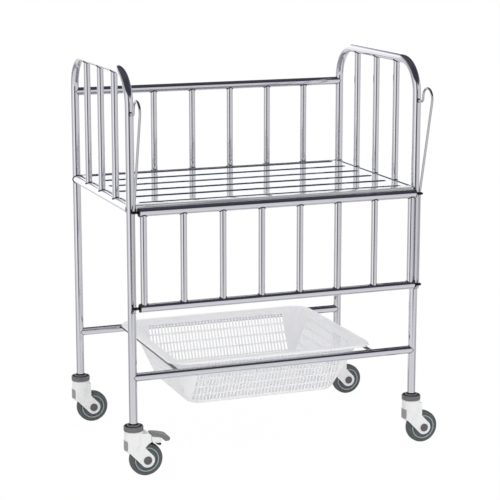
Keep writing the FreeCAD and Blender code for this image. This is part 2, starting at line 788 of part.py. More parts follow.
def add_brake_ears(body, label):
    """Two ears on the fork, level with its cheeks, that the brake's lever turns between."""
    ears = new_sketch(body, label + "_ear_outline", "XZ_Plane")
    reach = "(brake_pivot_x + brake_ear_reach)"
    outline(ears, [
        ("0", EAR_FOOT), ("fork_radius + 1", EAR_FOOT + " - 8"), ("brake_pivot_x", EAR_FOOT),
        (reach, EAR_FOOT + " + 4"), (reach, "brake_pivot_height + 2"),
        ("brake_pivot_x", "brake_pivot_height + brake_ear_reach"),
        ("0", "brake_pivot_height + brake_ear_reach"),
    ], {4: "3", 5: "3"})
    pad(body, ears, label + "_ears", "fork_width", both_ways=True)
    between = new_sketch(body, label + "_between_outline", "XZ_Plane")
    gap = "(fork_radius + rest_gap)"
    outline(between, [
        (gap, "wheel_radius"), (reach + " + 5", "wheel_radius"),
        (reach + " + 5", "fork_top + 5"), (gap, "fork_top + 5"),
    ])
    pocket(body, between, label + "_between", "fork_width - 2 * brake_ear", both_ways=True)
    pivot = new_sketch(body, label + "_pivot_outline", "XZ_Plane")
    circle(pivot, "brake_pin_radius + running_gap", "brake_pivot_x", "brake_pivot_height")
    pocket(body, pivot, label + "_pivot", "fork_width", both_ways=True)


def make_wheel(corner, x, y):
    """Tyre, hub and axle, turned about the wheel's own axis."""
    half = "wheel_width / 2"
    seat = "wheel_radius - tyre_depth"
    tyre = ring_profile(
        corner + "_caster_tyre", "Y_Axis", "YZ_Plane",
        [("-" + half, seat), (half, seat), (half, "wheel_radius"), ("-" + half, "wheel_radius")],
        {2: "tyre_shoulder", 3: "tyre_shoulder"},
    )
    bore = "axle_radius + running_gap"
    boss = f"({half} + wheel_gap_side / 2)"
    rim = "(wheel_radius - tyre_depth - 4)"
    hub = ring_profile(
        corner + "_caster_hub", "Y_Axis", "YZ_Plane",
        [
            ("-" + boss, bore), (boss, bore), (boss, "hub_boss"), ("hub_web / 2", "hub_boss"),
            ("hub_web / 2", rim), (f"{half} - 1", rim), (f"{half} - 1", seat), (f"1 - {half}", seat),
            (f"1 - {half}", rim), ("-hub_web / 2", rim), ("-hub_web / 2", "hub_boss"), ("-" + boss, "hub_boss"),
        ],
    )
    cheek = "fork_width / 2"
    axle = ring_profile(
        corner + "_caster_axle", "Y_Axis", "YZ_Plane",
        [
            (f"-{cheek} - axle_head", "0"), (f"{cheek} + axle_head", "0"),
            (f"{cheek} + axle_head", "axle_head_radius"), (cheek, "axle_head_radius"),
            (cheek, "axle_radius"), ("-" + cheek, "axle_radius"),
            ("-" + cheek, "axle_head_radius"), (f"-{cheek} - axle_head", "axle_head_radius"),
        ],
    )
    for name, body in (("tyre", tyre), ("hub", hub), ("axle", axle)):
        place(body, f"{x} + wheel_trail", y, "wheel_radius")
        keep(body, f"{corner}_caster_{name}")


def make_collar(corner, x, y):
    """The ring over the swivel, which the leg's end sits in."""
    body = ring_profile(
        corner + "_collar", "Z_Axis", "XZ_Plane",
        [
            ("stem_shoulder", "fork_top + rest_gap"), ("collar_radius", "fork_top + rest_gap"),
            ("collar_radius", "collar_top - collar_edge"), ("collar_shelf", "collar_top - rest_gap * 3"),
            ("tube_radius", "collar_top"), ("tube_radius", "leg_bottom"), ("stem_shoulder", "leg_bottom"),
        ],
        {1: "collar_foot_round"},
    )
    return place(body, x, y, "0")


def make_stem(corner, x, y):
    """The caster's stem: a pin in the fork, a shoulder in the collar and a plug in the leg."""
    body = ring_profile(
        corner + "_stem", "Z_Axis", "XZ_Plane",
        [
            ("0", "fork_top - stem_depth + rest_gap"), ("stem_radius", "fork_top - stem_depth + rest_gap"),
            ("stem_radius", "fork_top + rest_gap"), ("stem_shoulder", "fork_top + rest_gap"),
            ("stem_shoulder", "leg_bottom"),
            ("tube_radius - tube_wall - plug_clearance", "leg_bottom"),
            ("tube_radius - tube_wall - plug_clearance", "leg_bottom + stem_plug"),
            ("0", "leg_bottom + stem_plug"),
        ],
    )
    return place(body, x, y, "0")


def from_pivot(*points):
    """Points given from the brake's pivot, as pairs of distances to +X and up."""
    return [(f"brake_pivot_x + {x}", f"brake_pivot_height + {z}") for x, z in points]


# the pad's underside, which the arm's top and its nose are shaped to
PAD_SEAT = from_pivot(
    (9.5, 0.5), (12, -0.7), (27, -4.2), ("brake_nose", -9), ("brake_nose + 0.5", -13), ("brake_nose - 2.5", -16.5),
)


def make_brake(x, y):
    """The foot brake: a lever that turns between the fork's ears, and a pad over its nose."""
    lever = new_body("brake_lever")
    root = new_sketch(lever, "lever_root_outline", "XZ_Plane")
    outline(root, from_pivot(
        (-6, -6), (2, -16), (20, -17), (20, -6), (9, 0), (3, 6), (-5, 5),
    ), {0: "3", 5: "2", 6: "4"})
    pad(lever, root, "lever_root", "brake_root_width", both_ways=True)
    arm = new_sketch(lever, "lever_arm_outline", "XZ_Plane")
    shoe = from_pivot((23.5, -21.5), (30.5, -24.5), (31, -20))
    outline(arm, from_pivot((8.5, -10), (12.5, -17.5), (19, -17.8)) + shoe + PAD_SEAT[::-1])
    pad(lever, arm, "lever_arm", "brake_arm_width", both_ways=True)
    pin = new_sketch(lever, "lever_pin_outline", "XZ_Plane")
    circle(pin, "brake_pin_radius", "brake_pivot_x", "brake_pivot_height")
    pad(lever, pin, "lever_pin", "fork_width - 1", both_ways=True)
    tread = new_body("brake_pad")
    shape = new_sketch(tread, "pad_outline", "XZ_Plane")
    outline(shape, PAD_SEAT + from_pivot(
        (39, -15.5), ("pedal_reach - 4", -17.5), ("pedal_reach", -14.5), ("pedal_reach - 5", -9.5),
        (42.5, -4.5), (31, -1), (19.5, 1.5), (9.5, 3.5),
    ), {7: "1.5", 8: "2", 9: "6"})
    pad(tread, shape, "pad_block", "pedal_width", both_ways=True)
    for label, body in (("brake_lever", lever), ("brake_pedal_pad", tread)):
        place(body, x, y, "0")
        keep(body, label)


for corner, (x, y) in CORNERS.items():
    make_fork(corner, x, y)
    make_wheel(corner, x, y)
make_brake(*CORNERS["front_left"])
group("caster_collars", [make_collar(corner, x, y) for corner, (x, y) in CORNERS.items()])
group("caster_stems", [make_stem(corner, x, y) for corner, (x, y) in CORNERS.items()])

# --- check and write -------------------------------------------------------------------------

doc.recompute()
faults = [o.Name for o in doc.Objects if "Invalid" in o.State or "Error" in o.State]
faults += [o.Name for o in parts.values() if o.Shape.isNull() or not o.Shape.isValid()]
if faults:
    raise RuntimeError("failed: " + ", ".join(faults))
os.makedirs("parts", exist_ok=True)
for label, thing in parts.items():
    thing.Shape.exportStep(f"parts/{label}.step")
print(len(parts), "nodes")
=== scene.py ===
"""Hospital bassinet: the finish and the moulded pieces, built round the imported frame.

Every length is in metres, in the frame of the model: X along the length, Y to the back, Z up.
"""
import math

import bpy
import numpy as np
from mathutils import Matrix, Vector


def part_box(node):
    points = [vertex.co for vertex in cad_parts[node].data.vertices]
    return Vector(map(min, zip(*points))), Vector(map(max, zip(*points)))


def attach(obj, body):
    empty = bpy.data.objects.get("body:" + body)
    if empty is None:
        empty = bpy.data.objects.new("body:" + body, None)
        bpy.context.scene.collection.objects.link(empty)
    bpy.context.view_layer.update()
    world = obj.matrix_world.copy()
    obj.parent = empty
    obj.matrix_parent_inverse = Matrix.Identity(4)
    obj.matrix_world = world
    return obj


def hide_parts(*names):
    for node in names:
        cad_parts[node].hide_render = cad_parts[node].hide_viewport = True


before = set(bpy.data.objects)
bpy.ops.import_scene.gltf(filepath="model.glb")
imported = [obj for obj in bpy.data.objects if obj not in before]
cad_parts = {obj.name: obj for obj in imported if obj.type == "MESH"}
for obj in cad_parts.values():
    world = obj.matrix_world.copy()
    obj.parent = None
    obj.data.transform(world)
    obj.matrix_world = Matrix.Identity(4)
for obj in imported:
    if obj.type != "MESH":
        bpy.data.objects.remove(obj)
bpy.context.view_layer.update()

bl_info = {
    "name": "Hospital bassinet",
    "version": (1, 0, 0),
    "blender": (4, 5, 0),
    "location": "View3D > Sidebar > Bassinet",
    "description": "Finishes the tube frame and moulds the basket, casters and fittings",
    "category": "Object",
}


def box_of(node):
    """A node's box as two arrays, its low and its high corner."""
    low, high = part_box(node)
    return np.array(low), np.array(high)


def centre_of(node):
    """The middle of a node's box."""
    low, high = box_of(node)
    return (low + high) / 2


# The steel sections, and the posts' distances along X and Y.
TUBE_RADIUS = 0.010
BAR_RADIUS = 0.008
POST_SPACING = (0.720, 0.460)


# --- settings ---


def length(name, text, default):
    """A setting in metres."""
    return bpy.props.FloatProperty(name=name, description=text, default=default, unit="LENGTH")


def colour(name, text, default):
    """A setting that is a colour."""
    return bpy.props.FloatVectorProperty(
        name=name, description="Colour of the " + text, default=default, subtype="COLOR", min=0, max=1
    )


def factor(name, text, default, most=1.0):
    """A setting from nought to the most that it may be."""
    return bpy.props.FloatProperty(
        name=name, description=text, default=default, min=0, max=most, subtype="FACTOR"
    )


def power(name, text, default):
    """A setting in watts."""
    return bpy.props.FloatProperty(name=name, description=text, default=default, min=0, unit="POWER")


def tilt(name, text, degrees):
    """A setting that is an angle."""
    return bpy.props.FloatProperty(
        name=name, description=text, default=math.radians(degrees), subtype="ANGLE"
    )


class DeckSizes(bpy.types.PropertyGroup):
    """Sizes of the sheet deck and of the welds."""

    slot: length("Slot", "Width of a slot at its narrowest", 0.005)
    pitch: length("Slot pitch", "Distance from one slot to the next", 0.0824)
    margin: length("End margin", "Distance from a slot's end to the deck's end", 0.027)
    plunge: length("Plunge", "Radius that the sheet turns down by into a slot", 0.0088)
    flange: length("Flange", "Height of the deck's turned-down edge", 0.020)
    sheet: length("Sheet", "Thickness of the sheet", 0.0015)
    bead: length("Weld bead", "Radius of the weld bead round a joint", 0.0017)


class BasketSizes(bpy.types.PropertyGroup):
    """Sizes of the moulded basket."""

    wall: length("Wall", "Thickness of the basket's walls", 0.0022)
    rim: length("Rim", "Width of the flat rim round the mouth", 0.0225)
    lip: length("Lip", "Height of the lip that hangs from the rim", 0.0055)
    rim_corner: length("Rim corner", "Corner radius of the rim", 0.042)
    corner: length("Wall corner", "Corner radius of the walls", 0.0315)
    taper_x: length("Taper along X", "How far each end wall comes in at the foot", 0.050)
    taper_y: length("Taper along Y", "How far each long wall comes in at the foot", 0.061)
    pitch: length("Slot pitch", "Distance from one slot to the next", 0.0089)
    slot: length("Slot width", "Width of one slot", 0.0056)


class CasterSizes(bpy.types.PropertyGroup):
    """Sizes of what is moulded for the casters."""

    radius: length("Wheel radius", "Outer radius of the tyre", 0.040)
    width: length("Wheel width", "Width of the tyre", 0.024)
    seat: length("Seat radius", "Where the tyre sits on the wheel centre", 0.029)
    bead: length("Bead radius", "Radius of the light bead round the wheel centre", 0.0284)
    groove: length("Tread groove", "Depth of the grooves across the tread", 0.0005)
    grooves: bpy.props.IntProperty(name="Grooves", description="Grooves round the tread", default=110)


class SteelFinish(bpy.types.PropertyGroup):
    """Colours and polish of the steel."""

    tube: colour("Tube", "polished tube", (0.77, 0.77, 0.80))
    sheet: colour("Sheet", "polished deck", (0.71, 0.72, 0.745))
    rod: colour("Rod", "bright drawn rod", (0.62, 0.62, 0.64))
    eye: colour("Eye", "gate's blackened eyes", (0.035, 0.035, 0.04))
    basket_rod: colour("Basket rod", "rods under the basket's rim", (0.13, 0.13, 0.14))
    # Near-black, so the real weld beads also carry painted shade: dark where shade falls at the joints.
    weld: colour("Weld", "weld beads", (0.10, 0.095, 0.10))
    sheet_metal: factor("Sheet metal", "How much of the deck's look is mirror, the rest being haze", 0.55)
    roughness: factor("Roughness", "Roughness of the polish", 0.09)


class MouldedFinish(bpy.types.PropertyGroup):
    """Colours of the plastic and rubber."""

    basket: colour("Basket", "basket", (0.94, 0.94, 0.955))
    fork: colour("Fork", "caster housings", (0.77, 0.77, 0.77))
    tyre: colour("Tyre", "tread rubber", (0.085, 0.092, 0.095))
    hub: colour("Hub", "wheel centre", (0.128, 0.150, 0.155))
    bead: colour("Bead", "bead round the hub", (0.33, 0.37, 0.38))
    collar: colour("Collar", "ring over each swivel", (0.135, 0.13, 0.135))
    cap: colour("Axle cap", "axle caps", (0.10, 0.09, 0.10))
    insert: colour("Insert", "insert behind each fork", (0.28, 0.28, 0.29))
    plug: colour("End plug", "gate rails' end plugs", (0.012, 0.012, 0.014))
    pad: colour("Pedal pad", "brake pedal's pad", (0.17, 0.17, 0.17))


class StudioSetup(bpy.types.PropertyGroup):
    """Light and camera."""

    ambient: factor("Ambient", "Strength of the even light on matt surfaces", 1.06, 5.0)
    key: power("Key", "Power of the large lamp", 12.0)
    fill: power("Fill", "Power of the lamp under the deck", 0.3)
    lens: bpy.props.FloatProperty(
        name="Lens", description="Focal length of the camera", default=126.44, unit="CAMERA"
    )
    pitch: tilt("Pitch", "Downward tilt of the camera", 11.71)
    yaw: tilt("Yaw", "Turn of the camera to the right", 20.91)
    eye: bpy.props.FloatVectorProperty(
        name="Eye", description="Place of the camera", default=(-1.53405, -3.97675, 1.3597),
        subtype="TRANSLATION",
    )


GROUPS = {
    "deck": DeckSizes,
    "basket": BasketSizes,
    "caster": CasterSizes,
    "steel": SteelFinish,
    "moulded": MouldedFinish,
    "studio": StudioSetup,
}


def settings(name):
    """One of the scene's property groups."""
    return getattr(bpy.context.scene, "bassinet_" + name)


# --- meshes ---


def piece(name, verts, faces, body, slot, material, nodes=(), smooth=True):
    """A mesh object from arrays of points and of faces, riding on a body."""
    mesh = bpy.data.meshes.new(name)
    mesh.from_pydata(np.asarray(verts, float).tolist(), [], [list(f) for f in faces])
    mesh.validate()
    mesh.update()
    mesh.shade_smooth() if smooth else mesh.shade_flat()
    obj = bpy.data.objects.new(name, mesh)
    bpy.context.scene.collection.objects.link(obj)
    obj.data.materials.append(material)
    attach(obj, body)
    if nodes:
        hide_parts(*nodes)
    return obj


def grid_faces(rows, columns, wrap_rows=False, wrap_columns=False):
    """Quads of a grid of points numbered row by row; a wrapped side joins its last line to its first."""
    r = np.arange(rows if wrap_rows else rows - 1)
    c = np.arange(columns if wrap_columns else columns - 1)
    i, j = np.meshgrid(r, c, indexing="ij")
    i2, j2 = (i + 1) % rows, (j + 1) % columns
    quads = np.stack([i * columns + j, i * columns + j2, i2 * columns + j2, i2 * columns + j], -1)
    return quads.reshape(-1, 4)


def turned_grid(profile, centre, steps, axis="y"):
    """A closed profile carried round an axis: point (r, t) goes to centre + r (cos a, sin a) across
    the axis and t along it, for even angles a. A profile whose two ends lie on the axis has no
    strip between them. Returns points and quads."""
    profile = np.asarray(profile, float)
    angle = np.linspace(0, 2 * np.pi, steps, endpoint=False)[:, None]
    r, t = profile[:, 0], profile[:, 1]
    ca, sa, along = r * np.cos(angle), r * np.sin(angle), np.broadcast_to(t, (steps, len(t)))
    order = {"y": (ca, along, sa), "z": (sa, ca, along)}[axis]
    points = np.stack(order, -1).reshape(-1, 3) + np.asarray(centre)
    return points, grid_faces(steps, len(profile), True, profile[[0, -1], 0].any())


def oval_section(radius, along, out, wide):
    """A profile to turn: twelve points of the ellipse about (radius, along) with these half axes."""
    turn = np.linspace(0, 2 * np.pi, 12, endpoint=False)
    return np.stack([radius + out * np.cos(turn), along + wide * np.sin(turn)], -1)


def merged(parts):
    """Several arrays of points and of quads as one."""
    starts = np.cumsum([0] + [len(points) for points, _ in parts])
    verts = np.concatenate([points for points, _ in parts])
    return verts, np.concatenate([quads + start for (_, quads), start in zip(parts, starts)])


def in_four(points, quads):
    """A quarter and its three mirror images about X and Y; a single mirror turns its faces over."""
    parts = []
    for sx, sy in ((1, 1), (-1, 1), (1, -1), (-1, -1)):
        parts.append((points * (sx, sy, 1), quads if sx * sy > 0 else quads[:, ::-1]))
    return merged(parts)


def welded(points, quads):
    """The same surface with points that coincide made one. A quad that two equal neighbours
    have turned into a triangle comes back as one."""
    keys = np.round(points * 1e6).astype(np.int64)
    _, first, index = np.unique(keys, axis=0, return_index=True, return_inverse=True)
    quads = index.reshape(-1)[quads]
    following = np.roll(quads, -1, axis=1)
    whole = (quads != following).all(axis=1)
    slim = quads[~whole]
    turn = np.argmax(slim == np.roll(slim, -1, axis=1), axis=1)[:, None]
    triangles = np.take_along_axis(slim, (turn + np.arange(1, 4)) % 4, axis=1)
    return points[first], quads[whole].tolist() + triangles.tolist()


def add_modifier(obj, kind, **values):
    """A modifier with its values set."""
    modifier = obj.modifiers.new(kind.title(), kind)
    for key, value in values.items():
        setattr(modifier, key, value)
    return modifier


# --- shader groups and materials ---


def feed(tree, socket, value):
    """Links a source socket to an input, or sets the input to a plain value."""
    if isinstance(value, bpy.types.NodeSocket):
        tree.links.new(value, socket)
    else:
        socket.default_value = value


def add(tree, kind, *inputs, **properties):
    """A shader node with its properties set and its inputs fed; inputs are (name, value) pairs."""
    made = tree.nodes.new("ShaderNode" + kind)
    for key, value in properties.items():
        setattr(made, key, value)
    for key, value in inputs:
        feed(tree, made.inputs[key], value)
    return made


def maths(tree, operation, a, b=None, clamp=False):
    """One sum on two sockets or numbers."""
    terms = [(index, term) for index, term in enumerate((a, b)) if term is not None]
    return add(tree, "Math", *terms, operation=operation, use_clamp=clamp).outputs[0]


def new_group(name, inputs, outputs):
    """An empty shader group with named float, vector or colour sockets."""
    kinds = {float: "NodeSocketFloat", Vector: "NodeSocketVector", tuple: "NodeSocketColor"}
    group = bpy.data.node_groups.new(name, "ShaderNodeTree")
    for label, default in inputs:
        socket = group.interface.new_socket(label, in_out="INPUT", socket_type=kinds[type(default)])
        socket.default_value = default
    for label, kind in outputs:
        group.interface.new_socket(label, in_out="OUTPUT", socket_type=kinds[kind])
    return group, group.nodes.new("NodeGroupInput"), group.nodes.new("NodeGroupOutput")


def fine_grain_group():
    """Noise stretched along one direction, as polishing or moulding leaves it, and broad smudges.

    Grain is the fine noise and Smudge the broad one, both from 0 to 1 about 0.5.
    """
    group, start, end = new_group(
        "fine_grain", [("Stretch", Vector((1, 1, 1))), ("Scale", 900.0), ("Smudge Scale", 9.0)],
        [("Grain", float), ("Smudge", float)],
    )
    place = add(group, "TexCoord").outputs["Object"]
    stretch = (1, start.outputs["Stretch"])
    drawn_out = add(group, "VectorMath", (0, place), stretch, operation="MULTIPLY").outputs[0]
    for socket, scale, vector in (("Grain", "Scale", drawn_out), ("Smudge", "Smudge Scale", place)):
        size = ("Scale", start.outputs[scale])
        noise = add(group, "TexNoise", ("Detail", 3.0), ("Vector", vector), size)
        feed(group, end.inputs[socket], noise.outputs["Fac"])
    return group


def swing(group, start):
    """Amount times (Mask - 0.5), from a group's own inputs."""
    off_middle = maths(group, "SUBTRACT", start.outputs["Mask"], 0.5)
    return maths(group, "MULTIPLY", off_middle, start.outputs["Amount"])


def tinted_group():
    """A colour taken lighter and darker by a mask: Colour times 1 + Amount times (Mask - 0.5)."""
    group, start, end = new_group(
        "tinted", [("Colour", (0.5, 0.5, 0.5, 1.0)), ("Mask", 0.5), ("Amount", 0.1)], [("Colour", tuple)]
    )
    scale = ("Scale", maths(group, "ADD", swing(group, start), 1.0))
    scaled = add(group, "VectorMath", (0, start.outputs["Colour"]), scale, operation="SCALE")
    feed(group, end.inputs["Colour"], scaled.outputs[0])
    return group


def spread_group():
    """A number taken up and down by a mask: Value plus Amount times (Mask - 0.5)."""
    group, start, end = new_group(
        "spread", [("Value", 0.3), ("Mask", 0.5), ("Amount", 0.1)], [("Value", float)]
    )
    feed(group, end.inputs["Value"], maths(group, "ADD", start.outputs["Value"], swing(group, start)))
    return group


GROUP_MAKERS = {"fine_grain": fine_grain_group, "tinted": tinted_group, "spread": spread_group}


def use_group(tree, name, **values):
    """Places one of the shared groups in a material, with numbers or sockets as its inputs."""
    group = bpy.data.node_groups.get(name) or GROUP_MAKERS[name]()
    inputs = [(key.replace("_", " "), value) for key, value in values.items()]
    return add(tree, "Group", *inputs, node_tree=group)


def finish(name, base, roughness, stretch=(1, 1, 1), grain=900.0, tint=0.04, rough_spread=0.05,
           bump=0.02, bump_depth=0.0002, smudge=9.0, smudge_tint=0.03, **shader):
    """A Principled material: colour, roughness and bump all vary with the fine grain and the smudges."""
    material = bpy.data.materials.new(name)
    material.use_nodes = True
    tree = material.node_tree
    principled = tree.nodes["Principled BSDF"]
    for key, value in shader.items():
        principled.inputs[key.replace("_", " ").title().replace("Ior", "IOR")].default_value = value
    pattern = use_group(tree, "fine_grain", Stretch=Vector(stretch), Scale=grain, Smudge_Scale=smudge)
    fine, broad = pattern.outputs["Grain"], pattern.outputs["Smudge"]
    shade = use_group(tree, "tinted", Colour=(*base, 1.0), Mask=fine, Amount=tint)
    shade = use_group(tree, "tinted", Colour=shade.outputs[0], Mask=broad, Amount=smudge_tint)
    rough = use_group(tree, "spread", Value=roughness, Mask=broad, Amount=rough_spread)
    relief = add(tree, "Bump", ("Strength", bump), ("Distance", bump_depth), ("Height", fine))
    for key, source in (("Base Color", shade), ("Roughness", rough), ("Normal", relief)):
        feed(tree, principled.inputs[key], source.outputs[0])
    return material


# Coarse grain and small smudges, as on rubber and on filled plastic.
MOTTLED = {"grain": 420.0, "smudge": 60.0}


def steel(name, base, along, roughness, metallic=1.0):
    """Polished stainless steel with its polishing marks along one direction."""
    stretch = tuple(0.04 if axis == along else 1.0 for axis in "xyz")
    return finish(
        name, base, roughness, stretch, grain=1400.0, tint=0.06, rough_spread=0.05, bump=0.03,
        bump_depth=0.0001, smudge=7.0, smudge_tint=0.05, metallic=metallic,
    )


# --- operators ---


def coat(nodes, material):
    """Gives CAD nodes a material."""
    for name in nodes:
        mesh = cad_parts[name].data
        mesh.materials.clear()
        mesh.materials.append(material)


class MakeTubes(bpy.types.Operator):
    """Finishes the tubes, bars and rods."""

    bl_idname = "bassinet.tubes"
    bl_label = "Tubes and rods"

    def execute(self, context):
        look = settings("steel")
        upright = steel("tube_upright", look.tube, "z", look.roughness)
        lengthwise = steel("tube_lengthwise", look.tube, "x", look.roughness)
        crosswise = steel("tube_crosswise", look.tube, "y", look.roughness)
        rod = steel("bright_rod", look.rod, "z", look.roughness)
        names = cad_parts.keys()
        coat([n for n in names if "_bar_" in n or "_hoop" in n], upright)
        coat([n for n in names if n.endswith("_rail")], lengthwise)
        coat(["left_deck_rail", "right_deck_rail"], crosswise)
        coat(["left_basket_rod", "right_basket_rod"], steel("basket_rod", look.basket_rod, "y", 0.16))
        coat(["left_guide_rod", "right_guide_rod"], rod)
        coat(["caster_stems"], rod)
        return {"FINISHED"}


DECK_SLOTS = 6
DECK_EDGE = 0.002  # radius of the deck's turned-down edge
SLOT_LIP = 0.001  # height of the straight lip below a slot's roll
# The slots' mirror starts this far below the sheet, and this far behind the deck's front.
MIRROR_DOWN, MIRROR_BACK = 0.0002, 0.0045

# The strip over the front rail: its sheet, the gap below it, the radius of its bend, the flat
# station before the bend, and how far it reaches back over the deck and down in front.
LAP_SHEET, LAP_GAP, LAP_BEND, LAP_FLAT, LAP_BACK, LAP_DROP = 0.0008, 0.0004, 0.0028, 0.0004, 0.003, 0.0085

STATIONS_ALONG, RAYS, RINGS = 41, 7, 8


def slot_cell(half_slot, plunge, reach, room, below, above):
    """The sheet round one slot, out to the edges of its cell.

    Rings round the slot's rounded outline lie at the distance d from its line, and at the depth
    R - sqrt(R^2 - (R + w - d)^2) below the sheet, w being half the slot and R the plunge. Points
    along the slot go straight out to the cell's edge. Points round an end go out along the ray
    from the end's centre, and one ray each way meets a corner of the cell.
    """
    straight = np.linspace(-reach, reach, STATIONS_ALONG)
    quarter = np.pi / 2
    corner_low, corner_high = np.arctan2(below, room), np.arctan2(above, room)
    rays = np.concatenate([
        np.linspace(-quarter, -corner_low, RAYS)[1:], np.linspace(-corner_low, corner_high, RAYS)[1:-1],
        np.linspace(corner_high, quarter, RAYS)[:-1],
    ])
    right, flank = np.full(len(rays), reach), np.full(STATIONS_ALONG, quarter)
    x = np.concatenate([straight, right, straight[::-1], -right])
    angle = np.concatenate([-flank, rays, flank, np.pi - rays[::-1]])
    away = np.stack([np.cos(angle), np.sin(angle)], -1)
    away[np.abs(away) < 1e-12] = 0
    roll = np.linspace(0, quarter, RINGS)
    d = np.concatenate([[half_slot], half_slot + plunge * (1 - np.cos(roll))])
    z = np.concatenate([[-plunge - SLOT_LIP], -plunge * (1 - np.sin(roll))])
    rings = np.stack([x + d[:, None] * away[:, 0], d[:, None] * away[:, 1],
                      np.broadcast_to(z[:, None], (len(d), len(x)))], -1)
    limits = []
    for across, limit in ((away[:, 0], room), (away[:, 1], np.where(away[:, 1] < 0, below, above))):
        limits.append(np.where(across == 0, np.inf, limit / np.maximum(np.abs(across), 1e-9)))
    far = np.minimum(*limits)
    edge = np.stack([x + far * away[:, 0], far * away[:, 1], np.zeros(len(x))], -1)
    points = np.concatenate([rings, edge[None]])
    return points.reshape(-1, 3), grid_faces(len(points), len(x), False, True)[:, ::-1]


def hang_skirt(points, faces, half, profile):
    """Continues a sheet over its four outer edges: each edge point goes out and down by the
    profile's (out, down) pairs, straight out on a side and diagonally at a corner."""
    on_edge = np.abs(np.abs(points[:, :2]) - half) < 1e-6
    rim = np.flatnonzero(on_edge.any(axis=1))
    rim = rim[np.argsort(np.arctan2(points[rim, 1] / half[1], points[rim, 0] / half[0]))]
    outward = np.sign(points[rim, :2]) * on_edge[rim]
    rings = [
        points[rim] + np.column_stack([outward * out, np.full(len(rim), -down)]) for out, down in profile
    ]
    numbers = np.concatenate([rim, len(points) + np.arange(len(profile) * len(rim))])
    skirt = numbers[grid_faces(len(profile) + 1, len(rim), False, True)[:, ::-1]]
    return np.concatenate([points, *rings]), list(faces) + skirt.tolist()


def quarter_bend(radius):
    """A bend from flat to upright: out by R sin a and down by R (1 - cos a), for even angles a."""
    turn = np.linspace(0, np.pi / 2, 6)
    return radius * np.sin(turn), radius * (1 - np.cos(turn))


class MakeDeck(bpy.types.Operator):
    """Presses the deck: a flanged sheet whose edges turn down into six long slots."""

    bl_idname = "bassinet.deck"
    bl_label = "Deck"

    def burnish(self, material, level, front, metallic):
        """Makes the sheet a full mirror where it turns down into a slot: below the level and
        behind the front."""
        tree = material.node_tree
        place = add(tree, "SeparateXYZ", (0, add(tree, "TexCoord").outputs["Object"]))
        sunk = maths(tree, "LESS_THAN", place.outputs["Z"], level)
        inside = maths(tree, "GREATER_THAN", place.outputs["Y"], front)
        mask = maths(tree, "MULTIPLY", sunk, inside)
        mirror = maths(tree, "ADD", maths(tree, "MULTIPLY", mask, 1 - metallic), metallic)
        feed(tree, tree.nodes["Principled BSDF"].inputs["Metallic"], mirror)

    def lay_front_lap(self, low, high, sheet):
        """A strip of the deck's sheet over the rail in front: flat, round a quarter bend, down."""
        front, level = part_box("front_deck_rail")[0][1] - LAP_GAP, high[2] + LAP_GAP
        out, down = quarter_bend(LAP_BEND)
        y = [low[1] + LAP_BACK, front + LAP_BEND + LAP_FLAT, *(front + LAP_BEND - out), front]
        z = [level, level, *(level - down), level - LAP_DROP]
        ends = np.array([low[0], high[0]])
        strip = np.stack([np.repeat(ends, len(y)), np.tile(y, 2), np.tile(z, 2)], -1)
        faces = grid_faces(2, len(y))[:, ::-1]
        lap = piece("deck_front_lap", strip, faces, "frame", "steel_sheet", sheet)
        add_modifier(lap, "SOLIDIFY", thickness=LAP_SHEET, offset=-1.0)

    def execute(self, context):
        size, look = settings("deck"), settings("steel")
        low, high = box_of("deck_panel")
        half = (high - low)[:2] / 2 - DECK_EDGE
        reach = half[0] + DECK_EDGE - size.margin
        parts = []
        for k in range(DECK_SLOTS):
            at = (k - (DECK_SLOTS - 1) / 2) * size.pitch
            below = half[1] + at if k == 0 else size.pitch / 2
            above = half[1] - at if k == DECK_SLOTS - 1 else size.pitch / 2
            points, quads = slot_cell(size.slot / 2, size.plunge, reach, half[0] - reach, below, above)
            parts.append((points + (0, at, 0), quads))
        points, faces = welded(*merged(parts))
        profile = [*zip(*quarter_bend(DECK_EDGE))][1:] + [(DECK_EDGE, size.flange)]
        points, faces = hang_skirt(points, faces, half, profile)
        points += (*((low + high) / 2)[:2], high[2])
        sheet = steel("deck_sheet", look.sheet, "x", look.roughness, metallic=look.sheet_metal)
        self.burnish(sheet, high[2] - MIRROR_DOWN, low[1] + MIRROR_BACK, look.sheet_metal)
        self.lay_front_lap(low, high, sheet)
        deck = piece("deck_sheet", points, faces, "frame", "steel_sheet", sheet, ["deck_panel"], False)
        add_modifier(deck, "SOLIDIFY", thickness=size.sheet, offset=-1.0)
        return {"FINISHED"}


BEAD_STEPS, BEAD_SIDES = 24, 8
# Radii of a guide rod's end and of the bead round it, and where the beads are: above the rod's
# foot, and below the top rail's middle.
ROD_WELD, ROD_BEAD, ROD_FOOT_UP, ROD_TOP_DOWN = 0.0034, 0.0017, 0.003, 0.001
X_AXIS, Y_AXIS, Z_AXIS = np.eye(3)


def weld_bead(centre, bar, rail, bar_radius, bead):
    """A bead along the line where a bar meets a tube. At the angle a round the bar the line's
    point is centre + r (cos a rail + sin a side) + bar sqrt(R^2 - (r sin a)^2), and the bead is
    a round of the given radius about it."""
    side = np.cross(bar, rail)
    a = np.linspace(0, 2 * np.pi, BEAD_STEPS, endpoint=False)[:, None, None]
    b = np.linspace(0, 2 * np.pi, BEAD_SIDES, endpoint=False)[None, :, None]
    radial = np.cos(a) * rail + np.sin(a) * side
    rise = np.sqrt(np.maximum(TUBE_RADIUS**2 - (bar_radius * np.sin(a)) ** 2, 0))
    line = np.asarray(centre) + bar_radius * radial + rise * bar
    points = line + bead * (np.cos(b) * radial + np.sin(b) * bar)
    return points.reshape(-1, 3), grid_faces(BEAD_STEPS, BEAD_SIDES, True, True)[:, ::-1]


